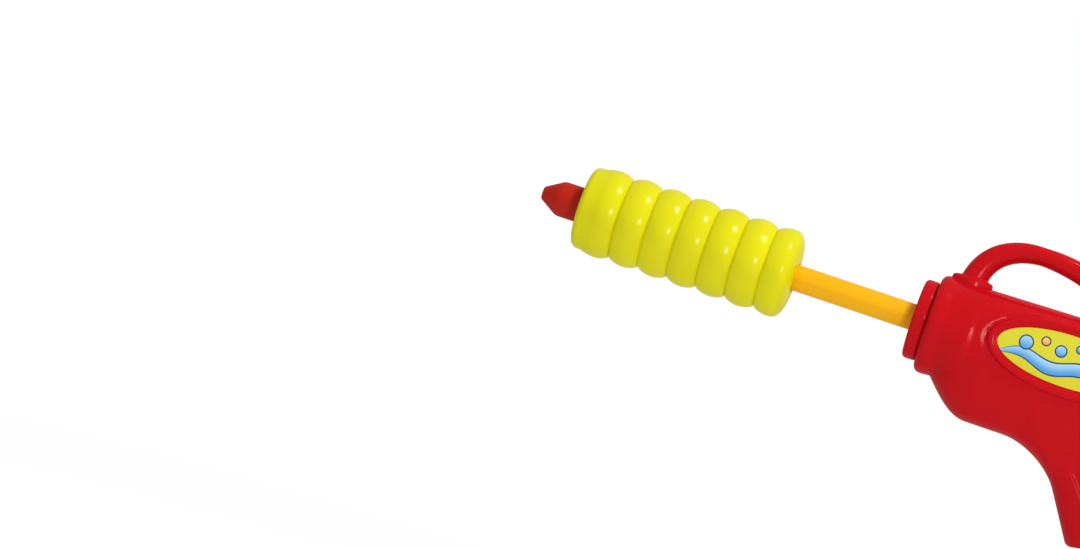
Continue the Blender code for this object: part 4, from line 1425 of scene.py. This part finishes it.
@dataclass
class CarryHandle:
    """The loop handle on its two beaded feet."""

    pump: PumpFrame
    housing: Housing
    front_foot: float = 14.4 * MM
    rear_foot: float = 94.9 * MM
    crest_x: float = 44.2 * MM
    foot_z: float = 23.4 * MM
    bar_z: float = 48.9 * MM
    bar: float = 9.2 * MM
    leg: float = 13.4 * MM
    width: float = 12.4 * MM
    flare: float = 1.8 * MM
    power: float = 2.4
    foot_half: tuple[float, float, float] = (10.5 * MM, 8.5 * MM, 3.4 * MM)
    sight_half: tuple[float, float, float] = (5.5 * MM, 4.75 * MM, 2.6 * MM)
    sight_x: float = 66.3 * MM
    root: float = 1.0 * MM
    climb_arm: tuple[float, float] = (0.01, 0.71)
    crest_arms: tuple[float, float] = (0.19, 0.228)
    fall_arm: tuple[float, float] = (-0.06, 0.75)
    path_count: int = 25
    sight_blend: float = 0.8 * MM
    foot_blend: float = 1.0 * MM
    foot_power: float = 4.5
    lowest: float = 14 * MM
    headroom: float = 8 * MM
    sharp: float = 50
    step: float = 0.7 * MM

    def path(self) -> tuple[Grid, Grid, Grid]:
        """Draws the bar's middle line.

        Returns:
            Its (x, z) points, and the half thickness and half width at each.
        """
        span, rise = self.rear_foot - self.front_foot, self.bar_z - self.foot_z
        crest = np.array((self.crest_x, self.bar_z))
        front = np.array((self.front_foot, self.foot_z))
        rear = np.array((self.rear_foot, self.foot_z))
        climb_end = front + (self.climb_arm[0] * span, self.climb_arm[1] * rise)
        fall_end = rear + (self.fall_arm[0] * span, self.fall_arm[1] * rise)
        before, after = (arm * span for arm in self.crest_arms)
        climb = (front, climb_end, crest - (before, 0), crest)
        fall = (crest, crest + (after, 0), fall_end, rear)
        share = np.linspace(0, 1, self.path_count)
        swell = np.concatenate([1 - share, share[1:]])
        points = np.concatenate([bezier(climb, share[:, None]), bezier(fall, share[1:, None])])
        thick = self.bar / 2 + (self.leg - self.bar) / 2 * swell
        return points, thick, self.width / 2 + self.flare * swell**2

    def bar_field(self, x: Grid, y: Grid, z: Grid) -> Grid:
        """Field of the swept bar.

        Args:
            x: places along the pump axis.
            y: places across it.
            z: heights from it.

        Returns:
            Distances to the skin, negative inside.
        """
        points, thick, wide = self.path()
        best = None
        for i, along in enumerate(np.diff(points, axis=0)):
            off_x, off_z = x - points[i][0], z - points[i][1]
            share = np.clip((off_x * along[0] + off_z * along[1]) / (along @ along), 0, 1)
            away = np.hypot(off_x - share * along[0], off_z - share * along[1])
            half = thick[i] + (thick[i + 1] - thick[i]) * share
            across = np.abs(y) / (wide[i] + (wide[i + 1] - wide[i]) * share)
            level = ((away / half) ** self.power + across**self.power) ** (1 / self.power)
            distance = radial(np.hypot(away, y), level)
            best = distance if best is None else np.minimum(best, distance)
        return best

    def shape(self, x: Grid, y: Grid, z: Grid) -> Grid:
        """Field of the whole handle, its feet rooted a little way into the body's skin.

        Args:
            x: places along the pump axis.
            y: places across it.
            z: heights from it.

        Returns:
            Distances to the skin, negative inside.
        """
        handle = self.bar_field(x, y, z)
        points, thick, _ = self.path()
        nearest = int(np.argmin(np.abs(points[:, 0] - self.sight_x)))
        sight_z = points[nearest][1] + thick[nearest] - self.sight_half[2] / 2
        sight = dome(x - self.sight_x, y, z - sight_z, self.sight_half)
        handle = round_union(handle, sight, self.sight_blend)
        for foot in (self.front_foot, self.rear_foot):
            rise = math.tan(self.housing.top_slope) * max(foot - self.housing.collar_length, 0)
            above = z - self.housing.body_top - rise
            bead = dome(x - foot, y, above, self.foot_half, self.foot_power)
            handle = round_union(handle, bead, self.foot_blend)
        return np.maximum(handle, -self.root - self.housing.outer(x, y, z))

    def build(self, finishes: Finishes) -> None:
        """Builds and dresses the handle.

        Args:
            finishes: the object's finishes.
        """
        margin = 3 * self.step
        low = (
            self.front_foot - self.foot_half[0] - margin,
            -self.foot_half[1] - margin,
            self.lowest,
        )
        high = (
            self.rear_foot + self.foot_half[0] + margin,
            self.foot_half[1] + margin,
            self.bar_z + self.headroom,
        )
        handle = FieldMesher(self.step).build("loop_handle_moulding", self.shape, low, high)
        self.pump.place(smooth(handle, self.sharp))
        finishes.dress(handle, Slot.RED)
        mount(handle, Body.HOUSING, Slot.RED, "carry_handle")


def bezier(points: Sequence[Grid], share: Grid) -> Grid:
    """Finds points on a cubic curve.

    Args:
        points: the curve's two ends and the two handles between them.
        share: shares of the way along it.

    Returns:
        The points at these shares.
    """
    a, b, c, d = points
    rest = 1 - share
    return a * rest**3 + 3 * b * share * rest**2 + 3 * c * share**2 * rest + d * share**3


@dataclass
class FrontCap:
    """The cap that closes the housing's mouth."""

    pump: PumpFrame
    edge: float = 2.0 * MM
    rear_edge: float = 1.6 * MM
    head: float = 7.28 * MM
    rod_hole: float = 6.95 * MM
    hole_edge: float = 0.5 * MM
    neck_radius: float = 17.4 * MM
    pocket_radius: float = 9.75 * MM
    lip: float = 2.5 * MM
    lip_edge: float = 0.2 * MM
    spigot: float = 15.7 * MM
    neck_end: float = 1.5 * MM
    sides: int = 120

    def build(self, finishes: Finishes) -> None:
        """Builds and dresses the cap.

        Args:
            finishes: the object's finishes.
        """
        size = RoundNode.read("front_cap", self.pump)
        head_back = size.front + self.head
        outline = rounded(
            [
                (size.front + self.lip, self.pocket_radius, 0),
                (size.front + self.lip, self.rod_hole, self.lip_edge),
                (size.front, self.rod_hole, self.hole_edge),
                (size.front, size.radius, self.edge),
                (head_back, size.radius, self.rear_edge),
                (head_back, self.neck_radius, 0),
                (self.neck_end, self.neck_radius, 0),
                (self.neck_end, self.spigot, 0),
                (size.back, self.spigot, 0),
                (size.back, self.pocket_radius, 0),
            ]
        )
        cap = self.pump.place(smooth(turned("front_cap_moulding", outline, self.sides)))
        finishes.dress(cap, Slot.RED)
        mount(cap, Body.HOUSING, Slot.RED, "front_cap")


@dataclass
class Plunger:
    """The sliding assembly's outside: tube, ribbed grip and nozzle."""

    pump: PumpFrame
    rib_count: int = 7
    rib_pitch: float = 15.45 * MM
    rib_root: float = 20.5 * MM
    front_land: float = 5.2 * MM
    land_radius: float = 21.3 * MM
    grip_edge: float = 3.6 * MM
    rib_steps: int = 12
    land_points: int = 7
    groove_depth: float = 0.6 * MM
    groove_start: float = 0.8
    groove_run: float = 0.2
    rear_power: float = 2.6
    rear_rim: float = 8.0 * MM
    rear_cup: float = 0.9 * MM
    cup_floor: float = 7.4 * MM
    cup_edge: float = 0.3 * MM
    hole_edge: float = 0.4 * MM
    grip_wall: float = 2.0 * MM
    grip_end_wall: float = 3.0 * MM
    neck: float = 5.7 * MM
    neck_edge: float = 0.3 * MM
    tube_edge: float = 0.4 * MM
    edge_steps: int = 3
    bore: float = 4.6 * MM
    clearance: float = 0.3 * MM
    nozzle_barrel: float = 12.0 * MM
    nozzle_tip: float = 3.2 * MM
    nozzle_socket: float = 9.0 * MM
    orifice: float = 1.2 * MM
    orifice_edge: float = 0.3 * MM
    tip_edge: float = 0.9 * MM
    cone_blend: float = 6.0 * MM
    barrel_edge: float = 0.5 * MM
    grip_sides: int = 144
    tube_sides: int = 72

    def build(self, finishes: Finishes) -> None:
        """Builds and dresses the tube, the grip and the nozzle.

        Args:
            finishes: the object's finishes.
        """
        for thing, slot, node in (
            (self._tube(), Slot.ORANGE, "plunger_tube"),
            (self._grip(), Slot.YELLOW, "ribbed_grip"),
            (self._nozzle(), Slot.NOZZLE, "nozzle"),
        ):
            self.pump.place(smooth(thing))
            finishes.dress(thing, slot)
            mount(thing, Body.PLUNGER, slot, node)

    def _tube(self) -> bpy.types.Object:
        """Turns the hollow tube, necked down inside the grip.

        Returns:
            The tube.
        """
        size = RoundNode.read("plunger_tube", self.pump)
        grip = RoundNode.read("ribbed_grip", self.pump)
        shoulder = grip.back - self.rear_cup + self.clearance
        outline = rounded(
            [
                (size.front, self.bore, 0),
                (size.front, self.neck, self.neck_edge),
                (shoulder, self.neck, 0),
                (shoulder, size.radius, self.tube_edge),
                (size.back, size.radius, self.tube_edge),
                (size.back, self.bore, 0),
            ],
            self.edge_steps,
        )
        return turned("plunger_tube_moulding", outline, self.tube_sides)

    def _grip(self) -> bpy.types.Object:
        """Turns the hollow grip, with a plain land at its front and seven round ribs.

        Returns:
            The grip.
        """
        size = RoundNode.read("ribbed_grip", self.pump)
        hole = self.neck + self.clearance
        chamber = self.rib_root - self.grip_wall
        front = [
            (size.front + self.grip_end_wall, chamber, 0),
            (size.front + self.grip_end_wall, hole, 0),
            (size.front, hole, self.hole_edge),
            (size.front, self.land_radius, self.grip_edge),
            (size.front + self.front_land, self.land_radius, 0),
        ]
        cup = size.back - self.rear_cup
        back = [
            (size.back, self.rear_rim, 0),
            (cup, self.cup_floor, self.cup_edge),
            (cup, hole, self.cup_edge),
            (cup - self.grip_end_wall, hole, 0),
            (cup - self.grip_end_wall, chamber, 0),
        ]
        outline = rounded(front) + self._ribs(size)[:-1] + rounded(back)
        return turned("ribbed_grip_moulding", outline, self.grip_sides)

    def _ribs(self, size: RoundNode) -> Outline:
        """Draws the ribs from the front land to the rim at the grip's rear end.

        Args:
            size: the grip's extent.

        Returns:
            Their (x, radius) points.
        """
        rise = size.radius - self.rib_root
        half = self.rib_pitch / 2
        bend = (half**2 + rise**2) / (2 * rise)
        spread = math.asin(half / bend)
        ribs: Outline = []
        steps, last = self.rib_steps, self.rib_count - 1
        for i in range(self.rib_count):
            middle = size.front + self.front_land + self.rib_pitch * (i + 0.5)
            first = 0 if i else self.land_points
            for k in range(first, steps if i == last else 2 * steps + 1):
                share = k / steps - 1
                a = spread * share
                groove = max(abs(share) - self.groove_start, 0) / self.groove_run
                x, r = middle + bend * math.sin(a), size.radius - bend * (1 - math.cos(a))
                ribs.append((x, r - self.groove_depth * groove**2))
        power = 2 / self.rear_power
        for k in range(2 * steps + 1):
            a = math.pi / 2 * k / (2 * steps)
            x = size.back - half + half * math.sin(a) ** power
            r = self.rear_rim + (size.radius - self.rear_rim) * math.cos(a) ** power
            ribs.append((x, r))
        return ribs

    def _nozzle(self) -> bpy.types.Object:
        """Turns the nozzle: a round barrel, a cone and a bored tip.

        Returns:
            The nozzle.
        """
        size = RoundNode.read("nozzle", self.pump)
        socket_end = size.back - self.nozzle_socket
        cone_back = size.back - self.nozzle_barrel
        outline = rounded(
            [
                (socket_end, self.neck + self.clearance, 0),
                (socket_end, self.bore / 2, 0),
                (size.front, self.orifice, self.orifice_edge),
                (size.front, self.nozzle_tip, self.tip_edge),
                (cone_back, size.radius, self.cone_blend),
                (size.back, size.radius, self.barrel_edge),
                (size.back, self.neck + self.clearance, 0),
            ]
        )
        return turned("nozzle_moulding", outline, self.tube_sides)


@dataclass
class Labels:
    """The oval printed films on the label pads."""

    pump: PumpFrame
    housing: Housing
    margin: float = 4.8 * MM
    thickness: float = 0.25 * MM
    lift: float = 0.02 * MM
    edge: float = 0.1 * MM
    sides: int = 96
    sharp: float = 30

    def build(self, finishes: Finishes) -> None:
        """Builds both films, each with its print.

        Args:
            finishes: the object's finishes.
        """
        half = tuple(h - self.margin for h in self.housing.pad_half)
        pad_x, pad_z = self.housing.pad_middle
        middle = (self.pump.front + pad_x, self.pump.height + pad_z)
        for side in Side:
            node = f"label_{side.name.lower()}"
            film = self._film(f"{node}_film", side, half)
            self.pump.place(smooth(film, self.sharp))
            printed = LabelPrint(f"printed_{node}", middle, half).material(finishes.surface)
            film.data.materials.append(printed)
            mount(film, Body.HOUSING, Slot.LABEL, node)

    def _film(self, name: str, side: Side, half: tuple[float, ...]) -> bpy.types.Object:
        """Makes a thin oval plate with a softened outer edge.

        Args:
            name: the object's name.
            side: the side of the housing.
            half: its half length and half height.

        Returns:
            The film.
        """
        face = self.housing.pad_face + self.lift
        top = face + self.thickness
        rings = []
        for y, inset in ((face, 0.0), (top - self.edge, 0.0), (top, self.edge)):
            ring = []
            for k in range(self.sides):
                a = 2 * math.pi * k / self.sides
                x = self.housing.pad_middle[0] + (half[0] - inset) * math.cos(a)
                z = self.housing.pad_middle[1] + (half[1] - inset) * math.sin(a)
                ring.append((x, side.value * y, z))
            rings.append(ring)
        return ringed(name, rings, loop=False)


@dataclass
class PumpInside:
    """The pump's inner pieces, which keep their construction meshes."""

    white: tuple[str, ...] = (
        "pump_cylinder",
        "cylinder_end_plug",
        "rod_guide_bush",
        "piston_head",
        "piston_retainer",
    )
    rubber: tuple[str, ...] = (
        "cap_gasket",
        "rod_wiper",
        "end_plug_seal",
        "nozzle_seal",
        "bump_stop",
        "piston_o_ring_front",
        "piston_o_ring_rear",
    )

    def dress(self, finishes: Finishes) -> None:
        """Puts the white plastic and rubber finishes on the inner nodes.

        Args:
            finishes: the object's finishes.
        """
        for names, slot in ((self.white, Slot.WHITE), (self.rubber, Slot.RUBBER)):
            for name in names:
                node = frame["nodes"][name]
                finishes.dress(node, slot)
                LOG.info("%s keeps its construction mesh, finished as %s", name, slot.value)


@dataclass(frozen=True)
class Lamp:
    """A square lamp that faces the object."""

    name: str
    offset: tuple[float, float, float]
    size: float
    power: float

    def build(self, aim: Vector) -> None:
        """Sets up the lamp.

        Args:
            aim: the place that it faces, which its offset is measured from.
        """
        light = bpy.data.lights.new(self.name, "AREA")
        light.size, light.energy = self.size, self.power
        lamp = bpy.data.objects.new(self.name, light)
        bpy.context.scene.collection.objects.link(lamp)
        lamp.location = aim + Vector(self.offset)
        lamp.rotation_euler = (-Vector(self.offset)).to_track_quat("-Z", "Y").to_euler()


@dataclass
class Studio:
    """Floor, white surroundings, lamps and the camera at the photograph's angle."""

    pump: PumpFrame
    floor_drop: float = 0.15
    floor_size: float = 6.0
    floor_white: float = 0.86
    floor_roughness: float = 0.9
    floor_lift: float = 0.37
    floor_fade: tuple[float, float] = (0.3, 0.9)
    ambient: float = 0.4
    lamp_aim: float = -0.12
    lamps: tuple[Lamp, ...] = (
        Lamp("upper_lamp", (0.32, -0.29, 1.1), 0.24, 7.4),
        Lamp("front_lamp", (0.43, -1.1, 0.15), 0.2, 4.6),
    )
    frame_width: float = 1080.0
    frame_height: float = 549.0
    focal_pixels: float = 3600.0
    sensor: float = 36.0
    distance: float = 1.8
    tilt: float = math.radians(18.8)
    anchor_x: float = -40.3 * MM
    anchor_pixel: tuple[float, float] = (851.5, 296.4)
    anchor_bearing: float = math.radians(4.25)

    def build(self) -> None:
        """Builds the surroundings, the lamps and the camera."""
        self._world()
        self._floor()
        self._lamps()
        self._camera()

    def _white_rays(self, sketch: NodeSketch) -> object:
        """Marks the rays that see the background directly, in gloss or through clear plastic.

        Args:
            sketch: the tree to draw in.

        Returns:
            1 on those rays and 0 on all others.
        """
        path = sketch.add("ShaderNodeLightPath").outputs
        seen = sketch.math("MAXIMUM", path["Is Camera Ray"], path["Is Glossy Ray"])
        return sketch.math("MAXIMUM", seen, path["Is Transmission Ray"])

    def _world(self) -> None:
        """A white background over a soft ambient light."""
        world = bpy.data.worlds.new("studio_white")
        bpy.context.scene.world = world
        world.use_nodes = True
        sketch = NodeSketch(world.node_tree)
        background = world.node_tree.nodes["Background"]
        background.inputs["Color"].default_value = WHITE
        spread = sketch.math("MULTIPLY", self._white_rays(sketch), 1 - self.ambient)
        strength = sketch.math("ADD", spread, self.ambient)
        world.node_tree.links.new(strength, background.inputs["Strength"])

    def _floor(self) -> None:
        """A pale floor that keeps the object's shadow and fades into the white background."""
        lowest = CAD_BOX[0].z - self.floor_drop
        half = self.floor_size / 2
        corners = ((-half, -half), (half, -half), (half, half), (-half, half))
        floor = mesh_object("studio_floor", [(*xy, lowest) for xy in corners], [(0, 1, 2, 3)])
        made = bpy.data.materials.new("pale_floor")
        made.use_nodes = True
        sketch = NodeSketch(made.node_tree)
        nodes = made.node_tree.nodes
        shader = nodes["Principled BSDF"]
        shader.inputs["Base Color"].default_value = (self.floor_white,) * 3 + (1,)
        shader.inputs["Roughness"].default_value = self.floor_roughness
        rays = self._white_rays(sketch)
        strength = sketch.math("MULTIPLY", rays, self.floor_lift)
        lift = sketch.add("ShaderNodeEmission", None, Color=WHITE, Strength=strength).outputs[0]
        lifted = sketch.add("ShaderNodeAddShader", None, i0=shader.outputs[0], i1=lift).outputs[0]
        glow = sketch.add("ShaderNodeEmission", None, Color=WHITE, Strength=1.0).outputs[0]
        place = sketch.add("ShaderNodeTexCoord").outputs["Object"]
        away = sketch.add("ShaderNodeVectorMath", {"operation": "LENGTH"}, i0=place)
        fade = sketch.ramp(away.outputs["Value"], *self.floor_fade)
        factor = sketch.math("MULTIPLY", fade, rays)
        mixed = sketch.add("ShaderNodeMixShader", None, i0=factor, i1=lifted, i2=glow)
        made.node_tree.links.new(mixed.outputs[0], nodes["Material Output"].inputs["Surface"])
        floor.data.materials.append(made)

    def _lamps(self) -> None:
        """A lamp from above and one from the front: each leaves a highlight on every rib."""
        for lamp in self.lamps:
            lamp.build(Vector((self.lamp_aim, 0, self.pump.height)))

    def _camera(self) -> None:
        """A level camera, rolled so that the pump axis runs down to the right."""
        data = bpy.data.cameras.new("photo_camera")
        data.sensor_width = self.sensor
        data.lens = self.focal_pixels / self.frame_width * self.sensor
        camera = bpy.data.objects.new("photo_camera", data)
        bpy.context.scene.collection.objects.link(camera)
        across = self.anchor_pixel[0] - self.frame_width / 2
        down = self.anchor_pixel[1] - self.frame_height / 2
        along = across * math.cos(self.tilt) + down * math.sin(self.tilt)
        below = down * math.cos(self.tilt) - across * math.sin(self.tilt)
        heading = self.anchor_bearing + math.atan(along / self.focal_pixels)
        right = Vector((math.cos(heading), math.sin(heading), 0))
        forward = Vector((-math.sin(heading), math.cos(heading), 0))
        up = Vector((0, 0, 1))
        anchor = Vector((self.pump.front + self.anchor_x, 0, self.pump.height))
        ray = forward + right * (along / self.focal_pixels) - up * (below / self.focal_pixels)
        place = anchor - ray * self.distance
        image_right = right * math.cos(self.tilt) + up * math.sin(self.tilt)
        image_up = up * math.cos(self.tilt) - right * math.sin(self.tilt)
        turn = Matrix((image_right, image_up, -forward)).transposed()
        camera.matrix_world = Matrix.Translation(place) @ turn.to_4x4()
        bpy.context.scene.camera = camera


def clear_start_scene() -> None:
    """Removes the objects that Blender starts with, leaving the frame."""
    for name in ("Cube", "Light", "Camera"):
        if name in bpy.data.objects:
            bpy.data.objects.remove(bpy.data.objects[name], do_unlink=True)


def main() -> None:
    """Builds every piece in order."""
    logging.basicConfig(level=logging.INFO, format="%(name)s: %(message)s")
    clear_start_scene()
    bpy.context.scene.view_settings.view_transform = "Standard"
    pump = PumpFrame.read()
    finishes = Finishes().prepare()
    housing = Housing(pump)
    housing.build(finishes)
    CarryHandle(pump, housing).build(finishes)
    FrontCap(pump).build(finishes)
    Labels(pump, housing).build(finishes)
    Screws(pump).build(finishes)
    Plunger(pump).build(finishes)
    PumpInside().dress(finishes)
    Studio(pump).build()


if __name__ == "__main__":
    main()
